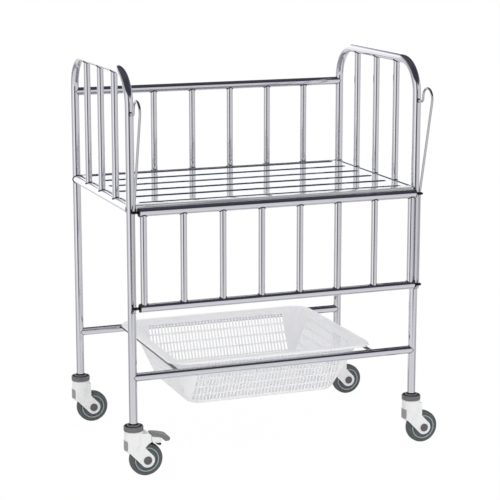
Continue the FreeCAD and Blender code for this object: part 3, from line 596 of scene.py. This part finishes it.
def bar_beads(bars, rail, low, high, bead):
    """Beads at both ends of upright bars that stand between two heights."""
    beads = []
    for name in bars:
        x, y, _ = centre_of(name)
        beads.append(weld_bead((x, y, low), Z_AXIS, rail, BAR_RADIUS, bead))
        beads.append(weld_bead((x, y, high), -Z_AXIS, rail, BAR_RADIUS, bead))
    return beads


class MakeWelds(bpy.types.Operator):
    """Lays a weld bead round each joint of the frame and of the gate."""

    bl_idname = "bassinet.welds"
    bl_label = "Welds"

    def execute(self, context):
        bead = settings("deck").bead
        deck, low, top = (
            centre_of(rail)[2] for rail in ("left_deck_rail", "front_lower_rail", "back_top_rail")
        )
        front, back = centre_of("front_lower_rail")[1], centre_of("back_lower_rail")[1]
        beads = bar_beads([f"back_bar_{k}" for k in range(1, 7)], X_AXIS, deck, top, bead)
        for side, inward in (("left", X_AXIS), ("right", -X_AXIS)):
            bars = [f"{side}_end_bar_{k}" for k in (1, 2, 3)]
            hoop_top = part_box(side + "_end_hoop")[1][2] - TUBE_RADIUS
            beads += bar_beads(bars, Y_AXIS, deck, hoop_top, bead)
            post = centre_of(bars[1])[0]
            rod_ends = (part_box(side + "_guide_rod")[0][2] + ROD_FOOT_UP, top - ROD_TOP_DOWN)
            joints = [(front, z, inward, TUBE_RADIUS, bead / 2) for z in (deck, low)]
            joints += [(back, z, inward, TUBE_RADIUS, bead / 2) for z in (deck, low, top)]
            joints += [(front, deck, Y_AXIS, TUBE_RADIUS, bead), (back, deck, -Y_AXIS, TUBE_RADIUS, bead)]
            joints += [(front, z, -Y_AXIS, ROD_WELD, ROD_BEAD) for z in rod_ends]
            for y, z, along, radius, size in joints:
                beads.append(weld_bead((post, y, z), along, Z_AXIS, radius, size))
        gate_low, gate_top = centre_of("gate_bottom_rail")[2], centre_of("gate_top_rail")[2]
        gate_beads = bar_beads([f"gate_bar_{k}" for k in range(1, 9)], X_AXIS, gate_low, gate_top, bead)
        # The beads are real fillets; their near-black colour is painted shade at the joints.
        metal = finish(
            "weld_bead", settings("steel").weld, 0.34, grain=700.0, tint=0.5, rough_spread=0.15,
            bump=0.35, bump_depth=0.0004, metallic=1.0,
        )
        piece("frame_welds", *merged(beads), "frame", "steel_tube", metal)
        piece("gate_welds", *merged(gate_beads), "gate", "steel_tube", metal)
        return {"FINISHED"}


# An eye: from its outer end to its middle, its band's section (as oval_section takes it), and
# the outline of the pin that joins it to the gate, as (radius, place along the pin).
EYE_HALF = 0.0085
EYE_BAND = (0.0069, 0.0, 0.0016, 0.0024)
EYE_PIN = [(0.0, 0.0076), (0.0030, 0.0076), (0.0036, 0.0084), (0.0036, 0.0112), (0.0, 0.0112)]
EYE_STEPS, PIN_STEPS = 32, 20


class MakeFittings(bpy.types.Operator):
    """Finishes the gate's end plugs and makes its eyes."""

    bl_idname = "bassinet.fittings"
    bl_label = "Gate fittings"

    def execute(self, context):
        coat(["gate_end_plugs"], finish("end_plug", settings("moulded").plug, 0.35))
        look = settings("steel").eye
        dark = finish("eye_steel", look, 0.16, tint=0.3, bump=0.2, grain=700.0, metallic=1.0)
        for level, body in (("upper", "gate"), ("lower", "gate_slider")):
            name = f"gate_{level}_eyes"
            low, high = box_of(name)
            parts = []
            for x, inward in ((low[0] + EYE_HALF, 1), (high[0] - EYE_HALF, -1)):
                place = (x, *centre_of(name)[1:])
                parts.append(turned_grid(oval_section(*EYE_BAND), place, EYE_STEPS, "z"))
                points, quads = turned_grid(EYE_PIN, (0, 0, 0), PIN_STEPS)
                points = points[:, [1, 0, 2]] * (inward, 1, 1) + place
                parts.append((points, quads if inward < 0 else quads[:, ::-1]))
            rings = welded(*merged(parts))
            piece(f"gate_{level}_eye_rings", *rings, body, "steel_rod", dark, [name])
        return {"FINISHED"}


# Rows of slots in the basket's walls, as depths below the rim: the small square ones first.
SLOT_ROWS = (
    (0.0120, 0.0162), (0.0175, 0.0342), (0.0372, 0.0560), (0.0588, 0.0776), (0.0805, 0.0993),
    (0.1020, 0.1180),
)
WALL_TOP = 0.0030  # where the rim's inner bend ends and the wall starts, below the rim
# The wall's rounded heel, as (depth, inset); the slots' lines draw in by this share at its foot.
HEEL = [
    (0.1200, 0), (0.1215, 0.0004), (0.1236, 0.0016), (0.1253, 0.0036), (0.1263, 0.0060),
    (0.1265, 0.0085),
]
HEEL_NARROWS = 0.064
SLOTS_ALONG, SLOTS_ACROSS = 21, 15  # slots of half a long wall and of half an end wall
CORNER_STRIP = 8  # solid steps round a corner
FLOOR_LINES = (38, 26)  # how many of the slots' lines run across the floor, each way
DRAIN_PITCH = 4
LIGHT_THROUGH = 0.12  # the share of light that the wall passes on


def slot_lines(pitch, slot, count):
    """Where the ribs and slots of half a wall end, from its middle: a rib stands at the middle,
    and slot k lies from (k + 1/2) pitch - slot / 2 to (k + 1/2) pitch + slot / 2."""
    middles = (np.arange(count) + 0.5) * pitch
    edges = np.stack([middles - slot / 2, middles + slot / 2], -1).reshape(-1)
    return np.concatenate([[0.0], edges])


def quarter_ring(half_x, half_y, corner, front, end, strip):
    """A quarter of a rounded rectangle, from the middle of its front side to the middle of its
    right side. The points lie at the distances front along the line from its start, at end
    back from its end, and evenly between these on the strip round the corner."""
    straight_x, arc, straight_y = half_x - corner, corner * np.pi / 2, half_y - corner
    total = straight_x + arc + straight_y
    between = np.linspace(front[-1], total - end[-1], strip + 1)[1:-1]
    s = np.concatenate([front, between, total - end[::-1]])
    turn = np.clip((s - straight_x) / corner, 0, np.pi / 2)
    x = np.minimum(s, straight_x) + corner * np.sin(turn)
    y = -straight_y - corner * np.cos(turn) + np.maximum(s - straight_x - arc, 0)
    return np.stack([x, y], -1)


class MakeBasket(bpy.types.Operator):
    """Moulds the basket: a tapered tray of slotted walls and floor below a channel rim."""

    bl_idname = "bassinet.basket"
    bl_label = "Basket"

    def let_light_through(self, material):
        """Lets the thin wall pass on some of the light that falls on its other side."""
        tree = material.node_tree
        principled, out = tree.nodes["Principled BSDF"], tree.nodes["Material Output"]
        shade = principled.inputs["Base Color"].links[0].from_socket
        through = add(tree, "BsdfTranslucent", ("Color", shade))
        solid = principled.outputs[0]
        mix = add(tree, "MixShader", (0, LIGHT_THROUGH), (1, solid), (2, through.outputs[0]))
        feed(tree, out.inputs["Surface"], mix.outputs[0])

    def execute(self, context):
        size = settings("basket")
        low, high = box_of("basket")
        half, depth = (high - low)[:2] / 2, high[2] - low[2]
        front = slot_lines(size.pitch, size.slot, SLOTS_ALONG)
        end = slot_lines(size.pitch, size.slot, SLOTS_ACROSS)
        # stations down the sheet's upper side: the distance out from the wall, the depth,
        # and the inset of the rounded heel
        rim, lip = size.rim, size.lip
        stations = [
            (rim, lip, 0), (rim, 0.003, 0), (rim - 0.0003, 0.0017, 0), (rim - 0.0012, 0.0007, 0),
            (rim - 0.0030, 0, 0), (0.0030, 0, 0), (0.0012, 0.0005, 0), (0.0003, 0.0014, 0),
            (0, WALL_TOP, 0),
        ]
        holes = len(stations) + 2 * np.arange(len(SLOT_ROWS))
        stations += [(0, down, 0) for row in SLOT_ROWS for down in row]
        stations += [(0, down, inset) for down, inset in HEEL]
        rings = []
        for out, down, inset in stations:
            share = down / depth if down > WALL_TOP and out == 0 else 0
            hx = half[0] - rim + out - size.taper_x * share - inset
            hy = half[1] - rim + out - size.taper_y * share - inset
            corner = size.corner + (size.rim_corner - size.corner) * out / rim - inset
            # the slots' lines draw in round the heel, so that the corner keeps its strip
            foot = 1 - inset / HEEL[-1][1] * HEEL_NARROWS
            ring = quarter_ring(hx, hy, corner, front * foot, end * foot, CORNER_STRIP)
            rings.append(np.column_stack([ring, np.full(len(ring), high[2] - down)]))
        wall = np.stack(rings)
        rows, columns = wall.shape[:2]
        quads = grid_faces(rows, columns).reshape(rows - 1, columns - 1, 4)
        keep = np.ones((rows - 1, columns - 1), bool)
        slots = np.zeros(columns - 1, bool)
        slots[1:len(front) - 1:2] = True
        slots[-2:-len(end):-2] = True
        keep[holes] = ~slots
        # the floor: a grid on the same lines with small drain holes, and a border that joins it
        # to the walls
        line_x, line_y = front[:FLOOR_LINES[0]] * foot, end[:FLOOR_LINES[1]] * foot
        level = high[2] - HEEL[-1][0]
        gx, gy = np.meshgrid(line_x, -line_y[::-1])
        floor = np.stack([gx, gy, np.full_like(gx, level)], -1)
        cells = grid_faces(*gx.shape).reshape(len(line_y) - 1, len(line_x) - 1, 4)
        rib_x, rail_y = (np.arange(count - 1) % DRAIN_PITCH != 1 for count in FLOOR_LINES)
        solid = rail_y[::-1, None] | rib_x[None, :]
        edge = wall[-1].copy()
        edge[:, 0] = np.minimum(edge[:, 0], line_x[-1])
        edge[:, 1] = np.maximum(edge[:, 1], -line_y[-1])
        border = (np.concatenate([wall[-1], edge]), grid_faces(2, columns))
        parts = [(wall.reshape(-1, 3), quads[keep]), (floor.reshape(-1, 3), cells[solid]), border]
        points, quads = in_four(*merged(parts))
        points += (*((low + high) / 2)[:2], 0)
        material = finish(
            "basket_plastic", settings("moulded").basket, 0.38, grain=260.0, tint=0.02,
            smudge=14.0, smudge_tint=0.02, bump=0.05,
        )
        self.let_light_through(material)
        tray = welded(points, quads)
        basket = piece("basket_tray", *tray, "basket", "basket_plastic", material, ["basket"], False)
        add_modifier(basket, "SOLIDIFY", thickness=size.wall, offset=-1.0, use_even_offset=True)
        return {"FINISHED"}


# Closed outlines turned about the axle, as (radius, place along the axle) in millimetres.
HUB_HALF = [
    (28.9, 0), (28.9, 9.8), (28.3, 10.4), (26.2, 10.4), (25.6, 9.8), (24.8, 6.6), (23.6, 6), (11, 6),
    (10.2, 6.6), (9.4, 10.8), (8.6, 11.5), (3.4, 11.5),
]
HUB_PROFILE = np.array(HUB_HALF + [(r, -t) for r, t in HUB_HALF[:0:-1]]) / 1000

CAP_HALF = [
    (0, 19.9), (6.2, 19.9), (7, 20.3), (8.6, 20.4), (9.6, 19.9), (10, 19), (10, 17.9), (3, 17.6),
]
CAP_PROFILE = np.array(CAP_HALF + [(r, -t) for r, t in CAP_HALF[::-1]]) / 1000

# Closed outlines turned about a leg, as (radius, height) in millimetres: the collar over the
# swivel, the black seal round the leg's foot, and a black ring in the collar's groove, which is
# painted shade: it stands for the shade that falls in the groove.
COLLAR = np.array([
    (5, 112.4), (22.2, 112.4), (23.1, 113), (23.4, 114), (23.4, 121.8), (23.1, 123.2), (22.2, 124.2),
    (21.2, 124.6), (20.8, 124), (20.6, 122.6), (15.6, 122.6), (15.4, 125.6), (15, 126.8), (14.2, 127.4),
    (12.4, 127.7), (11.6, 127.2), (11.3, 126.2), (11.3, 124), (5, 124),
]) / 1000
# Painted shade: a black ring that fills the collar's groove where its shadow falls.
GROOVE_SHADE_RING = np.array([
    (15.7, 122.6), (20.5, 122.6), (20.4, 123.6), (19.6, 124.3), (16.6, 124.8), (15.8, 124),
]) / 1000
FOOT_SEAL = np.array([
    (10.1, 124), (11.2, 124), (11.2, 128.4), (11, 129.6), (10.5, 130.2), (10.1, 130),
]) / 1000


def tyre_surface(size, middle):
    """A tyre: half an outline mirrored about the wheel's middle plane and turned about the axle.

    The tread's points move in by the groove's depth in every second quarter of the pitch; the
    grooves fade out over the shoulders, where the outline's third figure goes from 1 to 0.
    """
    r, w = size.radius, size.width / 2
    half = np.array([
        (r, 0, 1), (r, w - 0.0072, 1), (r - 0.0006, w - 0.0046, 1), (r - 0.0020, w - 0.0024, 0.7),
        (r - 0.0042, w - 0.0007, 0.15), (r - 0.0062, w, 0), (r - 0.0078, w - 0.0003, 0),
        (r - 0.0082, w - 0.0010, 0), (r - 0.0088, w - 0.0010, 0), (r - 0.0092, w - 0.0004, 0),
        (size.seat + 0.0004, w - 0.0006, 0), (size.seat, w - 0.0014, 0), (size.seat, 0, 0),
    ])
    outline = np.concatenate([half, (half * (1, -1, 1))[-2:0:-1]])
    steps = size.grooves * 4
    points, quads = turned_grid(outline[:, :2], (0, 0, 0), steps)
    index = np.arange(steps) % 4
    depth = np.where(index < 2, 0.0, size.groove)[:, None] * outline[:, 2]
    away = np.stack([points[:, 0], 0 * points[:, 0], points[:, 2]], -1)
    away /= np.linalg.norm(away, axis=1)[:, None]
    return points - away * depth.reshape(-1, 1) + middle, quads


ARCH_STEPS = 40


def painted_shade_arch(centre, inner, outer, half_width, start, end, slim, slim_end, full_start):
    """A block bent round the axle: a rectangle from inner to outer radius and across the wheel,
    carried from the start to the end angle, which is counted in degrees from +X up, with closed
    ends. Its outer radius is less by slim up to one angle, and full from another one on."""
    degrees = np.linspace(start, end, ARCH_STEPS)[:, None]
    less = slim * np.clip((full_start - degrees) / (full_start - slim_end), 0, 1)
    angle, r = np.radians(degrees), np.array([inner, outer, outer, inner]) - less * np.array([0, 1, 1, 0])
    t = np.broadcast_to([-half_width, -half_width, half_width, half_width], r.shape)
    points = np.stack([r * np.cos(angle), t, r * np.sin(angle)], -1)
    quads = grid_faces(ARCH_STEPS, 4, False, True)
    ends = np.array([range(3, -1, -1), range(4 * ARCH_STEPS - 4, 4 * ARCH_STEPS)])
    return points.reshape(-1, 3) + centre, np.concatenate([quads, ends])


def curved_patch(axis, radius, half_angle, low, high, corner):
    """A patch of an upright cylinder's wall on its -X side. Its outline is the rounded rectangle
    whose half width at height h is the full one less corner - sqrt(corner^2 - e^2), e being how
    far h reaches into the rounded end."""
    levels = np.concatenate([
        low + corner * (1 - np.cos(np.linspace(0, np.pi / 2, 6))),
        high - corner * (1 - np.cos(np.linspace(np.pi / 2, 0, 6))),
    ])
    reach = np.maximum(np.maximum(low + corner - levels, levels - high + corner), 0)
    half_width = radius * half_angle - corner + np.sqrt(np.maximum(corner**2 - reach**2, 1e-9))
    turn = np.linspace(-1, 1, 15)[None, :] * (half_width / radius)[:, None]
    height = np.broadcast_to(levels[:, None], turn.shape)
    points = np.stack([axis[0] - radius * np.cos(turn), axis[1] - radius * np.sin(turn), height], -1)
    return points.reshape(-1, 3), grid_faces(*turn.shape)


COLLAR_RADIUS = 0.0235  # half of the box of a CAD collar
# A light bead: its distance from the wheel's middle plane, and half its section out and across.
BEAD_PLACE, BEAD_SECTION = 0.0106, (0.0016, 0.0010)
WHEEL_STEPS, COLLAR_STEPS, SMALL_STEPS = 96, 64, 48
# The insert on a housing's wall: radius, half angle, foot, head and corner.
INSERT_PATCH = (0.0217, math.radians(37), 0.0660, 0.0898, 0.0040)
INSERT_THICKNESS = 0.0016
# The black arch over the braked wheel, painted shade for the dark gap between the brake cover
# and the tyre: half width, start and end, how much slimmer it is under the lever, and the angles
# between which it gets its full thickness.
ARCH_GAP, ARCH_OUT = 0.0008, 0.0034
ARCH_SHAPE = (0.0118, 66, 150, 0.0016, 86, 92)


class MakeCasters(bpy.types.Operator):
    """Moulds the wheels and the collars, and finishes the housings."""

    bl_idname = "bassinet.casters"
    bl_label = "Casters"

    def make_finishes(self, look):
        """The materials of a caster, by what they are used on."""
        return {
            "cap": finish("axle_cap", look.cap, 0.45, tint=0.7, bump=0.25, grain=420.0),
            "collar": finish(
                "collar_grey", look.collar, 0.42, tint=0.7, bump=0.20, smudge_tint=0.5, **MOTTLED
            ),
            # Black for the seals round the legs' feet and for the brake shoe, and also for the groove
            # rings and the wheel arch, which are painted shade.
            "black": finish("black_seal_and_painted_shade", look.plug, 0.60, specular_ior_level=0.1),
            "rubber": finish(
                "tread_rubber", look.tyre, 0.6, tint=0.9, bump=0.15, smudge_tint=0.5, **MOTTLED
            ),
            "centre": finish(
                "wheel_centre", look.hub, 0.45, tint=0.5, bump=0.10, smudge_tint=0.3, **MOTTLED
            ),
            "bead": finish(
                "bead_ring", look.bead, 0.42, tint=0.08, bump=0.10, smudge=25.0, smudge_tint=0.08
            ),
            "insert": finish("insert_grey", look.insert, 0.45, tint=0.06, bump=0.10),
        }

    def mould(self, corner, stem, size, coats):
        """The pieces of one caster."""
        middle = centre_of(corner + "_caster_tyre")
        wheel, swivel, node = corner + "_wheel", corner + "_swivel", corner + "_caster_"
        tyre = tyre_surface(size, middle)
        piece(corner + "_tyre_tread", *tyre, wheel, "grey_rubber", coats["rubber"], [node + "tyre"])
        hub = turned_grid(HUB_PROFILE, middle, WHEEL_STEPS)
        piece(corner + "_wheel_centre", *hub, wheel, "hub_grey", coats["centre"], [node + "hub"])
        sections = [oval_section(size.bead, side * BEAD_PLACE, *BEAD_SECTION) for side in (-1, 1)]
        beads = merged([turned_grid(section, middle, WHEEL_STEPS) for section in sections])
        piece(corner + "_bead_ring", *beads, wheel, "hub_grey", coats["bead"])
        patch = curved_patch(stem, *INSERT_PATCH)
        insert = piece(corner + "_fork_insert", *patch, swivel, "cap_grey", coats["insert"])
        add_modifier(insert, "SOLIDIFY", thickness=INSERT_THICKNESS, offset=1.0)
        points, quads = turned_grid(CAP_PROFILE, middle, SMALL_STEPS)
        caps = welded(points, quads[:, ::-1])
        piece(corner + "_axle_caps", *caps, swivel, "cap_grey", coats["cap"], [node + "axle"])
        # Painted shade: a black arch above the tyre, where the gap under the brake cover is dark.
        if corner == "front_left":
            arch = painted_shade_arch(middle, size.radius + ARCH_GAP, size.radius + ARCH_OUT, *ARCH_SHAPE)
            piece(corner + "_painted_shade_arch", *arch, swivel, "black_plastic", coats["black"])

    def execute(self, context):
        look, size = settings("moulded"), settings("caster")
        forks = [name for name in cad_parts.keys() if name.endswith("_fork")]
        coat(forks, finish("housing_white", look.fork, 0.35))
        coats = self.make_finishes(look)
        first = np.array(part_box("caster_collars")[0])[:2] + COLLAR_RADIUS
        stems = []
        for end, back in (("front", 0), ("back", 1)):
            for side, right in (("left", 0), ("right", 1)):
                stems.append(tuple(first + np.array(POST_SPACING) * (right, back)))
                self.mould(f"{end}_{side}", stems[-1], size, coats)
        collars = merged([turned_grid(COLLAR, (*stem, 0), COLLAR_STEPS, "z") for stem in stems])
        piece("collar_rings", *collars, "frame", "collar_grey", coats["collar"], ["caster_collars"])
        # The black rings in the collars' grooves are painted shade; the rings round the legs' feet are
        # seals.
        seals = [
            turned_grid(outline, (*stem, 0), SMALL_STEPS, "z")
            for stem in stems for outline in (GROOVE_SHADE_RING, FOOT_SEAL)
        ]
        piece("collar_seals_and_groove_shade", *merged(seals), "frame", "black_plastic", coats["black"])
        return {"FINISHED"}


# The pad's outline from the side, in millimetres right of its box and down from its top: along
# the top to the rounded tip, and back under the hooked end.
PAD_OUTLINE = [
    (0.4, -0.4), (6, -0.5), (12, -1.1), (19, -2.5), (26, -4.2), (33, -5.9), (38.5, -7.9), (42, -10.2),
    (43.9, -12.8), (44.1, -15.6), (43, -18.2), (40.4, -19.8), (34, -20.1), (30.6, -19.2),
    (29.8, -17.4), (30.6, -15.6), (29.2, -13.4), (23, -10.6), (15, -8.4), (8, -7), (2, -6.2),
    (0.4, -5.8),
]

# The rubber shoe under the lever's nose, in millimetres from the caster's upright axis and up
# from the ground.
SHOE_OUTLINE = [(49.0, 79.5), (61.6, 79.5), (62.8, 77.5), (60.4, 74.3), (54.0, 75.6)]
SHOE_HALF_WIDTH = 0.0179


def side_profile(outline, near, far):
    """A closed outline in X and Z carried across from one Y to another, with both ends closed."""
    count = len(outline)
    points = np.concatenate([np.insert(outline, 1, y, axis=1) for y in (near, far)])
    sides = grid_faces(2, count, False, True).tolist()
    return points, sides + [list(range(count - 1, -1, -1)), list(range(count, 2 * count))]


class MakeBrake(bpy.types.Operator):
    """Finishes the brake's lever and makes its pad and shoe."""

    bl_idname = "bassinet.brake"
    bl_label = "Brake"

    def execute(self, context):
        coat(["brake_lever"], bpy.data.materials["housing_white"])
        low, high = box_of("brake_pedal_pad")
        outline = np.array(PAD_OUTLINE) / 1000 + (low[0], high[2])
        rubber = finish(
            "pedal_rubber", settings("moulded").pad, 0.42, tint=0.5, bump=0.6, bump_depth=0.0005,
            smudge_tint=0.4, **MOTTLED,
        )
        sides = side_profile(outline, low[1], high[1])
        pad = piece("brake_pad", *sides, "brake", "pad_grey", rubber, ["brake_pedal_pad"], False)
        add_modifier(pad, "BEVEL", width=0.0014, segments=3)
        axis_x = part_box("caster_collars")[0][0] + COLLAR_RADIUS
        middle = centre_of("front_left_caster_tyre")[1]
        outline = np.array(SHOE_OUTLINE) / 1000 + (axis_x, 0)
        shoe = side_profile(outline, middle - SHOE_HALF_WIDTH, middle + SHOE_HALF_WIDTH)
        black = bpy.data.materials["black_seal_and_painted_shade"]
        piece("brake_shoe", *shoe, "brake", "black_plastic", black, smooth=False)
        return {"FINISHED"}


# --- studio ---

# What polished steel sees all round, a little below the horizon and further down: the angle from
# the gate side, in degrees, and how bright it is there. The room is dark behind the lamps.
HORIZON = [
    (-180, 1.25), (-158, 1.25), (-148, 0.50), (-118, 0.45), (-100, 0.75), (-72, 0.80), (-64, 1.15),
    (-52, 1.15), (-46, 0.75), (-38, 0.70), (-33, 0.14), (-6, 0.10), (-1, 0.72), (30, 0.74),
    (90, 0.68), (118, 0.38), (140, 0.42), (150, 1.25), (180, 1.25),
]
FLOOR_RING = [
    (-180, 0.85), (-150, 0.80), (-135, 0.36), (-110, 0.38), (-95, 0.78), (40, 0.80), (62, 0.44),
    (88, 0.40), (104, 0.72), (150, 0.80), (180, 0.85),
]
BEHIND_LOW = (0.60, 0.58, 0.58, 1.0)
CEILING_BACK = (0.072, 0.072, 0.092, 1.0)
CEILING_FRONT = (0.045, 0.047, 0.065, 1.0)
BLUE_CAST = 1.03  # the rings' blue as a multiple of their red and green

# Where one zone gives way to the next, as parts of the unit direction: the floor below the
# horizon, the low patch behind to the right, and the ceiling, whose edge lies at this height, is
# lower to the right and higher in front, and is this soft.
FLOOR_FADE = (-0.222, -0.250)
BEHIND_FADES = {"z": (-0.02, -0.08), "y": (0.3, 0.6), "x": (0.0, 0.12)}
CEILING_EDGE, CEILING_SOFT = 0.42, 0.04
RIGHT_FADE, LOWER_RIGHT = (0.10, 0.28), 0.13
FRONT_FADE, HIGHER_FRONT = (0.0, -0.5), 0.055
CEILING_TONE_FADE = (0.10, -0.15)


def ring_ramp(tree, around, stops):
    """The colour that a list of angles and brightnesses gives at a share of the whole turn."""
    ramp = add(tree, "ValToRGB", ("Fac", around))
    elements = ramp.color_ramp.elements
    for index, (angle, value) in enumerate(stops):
        place = angle / 360 + 0.5
        stop = elements[index] if index < 2 else elements.new(place)
        stop.position = place
        stop.color = (value, value, value * BLUE_CAST, 1.0)
    return ramp.outputs["Color"]


def ease(tree, value, start, end):
    """0 where the value is at the start, 1 where it is at the end, and straight between."""
    return maths(tree, "DIVIDE", maths(tree, "SUBTRACT", value, start), end - start, clamp=True)


def blend(tree, mask, a, b):
    """Colour a where the mask is 0 and b where it is 1."""
    return add(tree, "Mix", ("Factor", mask), ("A", a), ("B", b), data_type="RGBA").outputs["Result"]


def studio_world(ambient):
    """White to the camera, even light to matt surfaces, and to gloss the bright sweep behind, grey
    sides, the dark room in front and the dark ceiling, all by direction alone."""
    world = bpy.data.worlds.new("studio")
    world.use_nodes = True
    tree = world.node_tree
    tree.nodes.clear()
    parts = add(tree, "SeparateXYZ", (0, add(tree, "TexCoord").outputs["Generated"])).outputs
    x, y, z = parts
    turn = maths(tree, "ARCTAN2", x, maths(tree, "MULTIPLY", y, -1.0))
    around = maths(tree, "ADD", maths(tree, "DIVIDE", turn, 2 * math.pi), 0.5)
    down = ease(tree, z, *FLOOR_FADE)
    room = blend(tree, down, ring_ramp(tree, around, HORIZON), ring_ramp(tree, around, FLOOR_RING))
    behind = 1.0
    for axis, fade in BEHIND_FADES.items():
        behind = maths(tree, "MULTIPLY", ease(tree, parts[axis.upper()], *fade), behind)
    room = blend(tree, behind, room, BEHIND_LOW)
    lower = maths(tree, "MULTIPLY", ease(tree, x, *RIGHT_FADE), LOWER_RIGHT)
    higher = maths(tree, "MULTIPLY", ease(tree, y, *FRONT_FADE), HIGHER_FRONT)
    edge = maths(tree, "ADD", maths(tree, "SUBTRACT", CEILING_EDGE, lower), higher)
    above = ease(tree, maths(tree, "SUBTRACT", z, edge), -CEILING_SOFT, CEILING_SOFT)
    ceiling = blend(tree, ease(tree, y, *CEILING_TONE_FADE), CEILING_BACK, CEILING_FRONT)
    room = blend(tree, above, room, ceiling)
    white = (1.0, 1.0, 1.0, 1.0)
    even, seen_in_gloss, backdrop = (
        add(tree, "Background", ("Color", shade), ("Strength", strength)).outputs[0]
        for shade, strength in ((white, ambient), (room, 1.0), (white, 1.0))
    )
    path = add(tree, "LightPath").outputs
    light = add(tree, "MixShader", (0, path["Is Glossy Ray"]), (1, even), (2, seen_in_gloss))
    direct = maths(tree, "MAXIMUM", path["Is Camera Ray"], path["Is Transmission Ray"])
    final = add(tree, "MixShader", (0, direct), (1, light.outputs[0]), (2, backdrop))
    add(tree, "OutputWorld", ("Surface", final.outputs[0]))
    return world


def floor_material():
    """Pale floor that shows white to the camera and still keeps a faint shadow."""
    material = bpy.data.materials.new("floor")
    material.use_nodes = True
    tree = material.node_tree
    tree.nodes.clear()
    matt = add(tree, "BsdfDiffuse", ("Color", (0.96, 0.96, 0.96, 1))).outputs[0]
    glow = add(tree, "Emission").outputs[0]
    share = maths(tree, "MULTIPLY", add(tree, "LightPath").outputs["Is Camera Ray"], FLOOR_GLOW)
    mix = add(tree, "MixShader", (0, share), (1, matt), (2, glow))
    add(tree, "OutputMaterial", ("Surface", mix.outputs[0]))
    return material


FLOOR_REACH = 30.0
FLOOR_GLOW = 0.97  # how much of the floor that the camera sees is plain white
KEY_PLACE, KEY_TARGET, KEY_SIZE = (-0.6, -3.2, 1.1), (0, 0, 0.35), (2.4, 2.4)
FILL_PLACE, FILL_SIZE = (-0.02, 0.03, 0.60), (0.60, 0.36)


class MakeStudio(bpy.types.Operator):
    """Sets the floor, the light and the camera."""

    bl_idname = "bassinet.studio"
    bl_label = "Studio"

    def place(self, name, data, location):
        """A new object in the scene."""
        obj = bpy.data.objects.new(name, data)
        obj.location = location
        bpy.context.scene.collection.objects.link(obj)
        return obj

    def lamp(self, name, power, shape, size, location):
        """A soft lamp that looks down and shows in no reflection."""
        light = bpy.data.lights.new(name, "AREA")
        light.energy = power
        light.shape = shape
        light.size, light.size_y = size
        obj = self.place(name, light, location)
        obj.visible_glossy = False
        return obj

    def execute(self, context):
        look, scene = settings("studio"), bpy.context.scene
        scene.view_settings.view_transform = "Standard"
        scene.world = studio_world(look.ambient)
        mesh = bpy.data.meshes.new("floor")
        signs = np.array([(-1, -1, 0), (1, -1, 0), (1, 1, 0), (-1, 1, 0)])
        mesh.from_pydata((signs * FLOOR_REACH).tolist(), [], [(0, 1, 2, 3)])
        mesh.materials.append(floor_material())
        floor = self.place("floor", mesh, (0, 0, 0))
        floor.visible_glossy = False
        key = self.lamp("key", look.key, "DISK", KEY_SIZE, KEY_PLACE)
        aim = Vector(KEY_TARGET) - key.location
        key.rotation_euler = aim.to_track_quat("-Z", "Y").to_euler()
        # under the deck, where the sheet keeps the even light off the basket
        self.lamp("fill", look.fill, "RECTANGLE", FILL_SIZE, FILL_PLACE)
        camera = self.place("camera", bpy.data.cameras.new("camera"), look.eye)
        camera.data.lens = look.lens
        camera.data.sensor_width = 36.0
        camera.rotation_euler = (math.pi / 2 - look.pitch, 0, -look.yaw)
        scene.camera = camera
        return {"FINISHED"}


MAKERS = (MakeTubes, MakeDeck, MakeWelds, MakeFittings, MakeBasket, MakeCasters, MakeBrake, MakeStudio)


class BASSINET_PT_panel(bpy.types.Panel):
    """Lists the makers and their settings."""

    bl_label = "Bassinet"
    bl_space_type = "VIEW_3D"
    bl_region_type = "UI"
    bl_category = "Bassinet"

    def draw(self, context):
        for name, group in GROUPS.items():
            box = self.layout.box()
            box.label(text=name.title())
            for key in group.__annotations__:
                box.prop(getattr(context.scene, "bassinet_" + name), key)
        for maker in MAKERS:
            self.layout.operator(maker.bl_idname)


CLASSES = (*GROUPS.values(), *MAKERS, BASSINET_PT_panel)


def register():
    for cls in CLASSES:
        bpy.utils.register_class(cls)
    for name, group in GROUPS.items():
        setattr(bpy.types.Scene, "bassinet_" + name, bpy.props.PointerProperty(type=group))


def unregister():
    for name in GROUPS:
        delattr(bpy.types.Scene, "bassinet_" + name)
    for cls in reversed(CLASSES):
        bpy.utils.unregister_class(cls)


def main():
    """Makes everything in order."""
    register()
    for maker in MAKERS:
        getattr(bpy.ops.bassinet, maker.bl_idname.split(".")[1])()


if __name__ == "__main__":
    main()
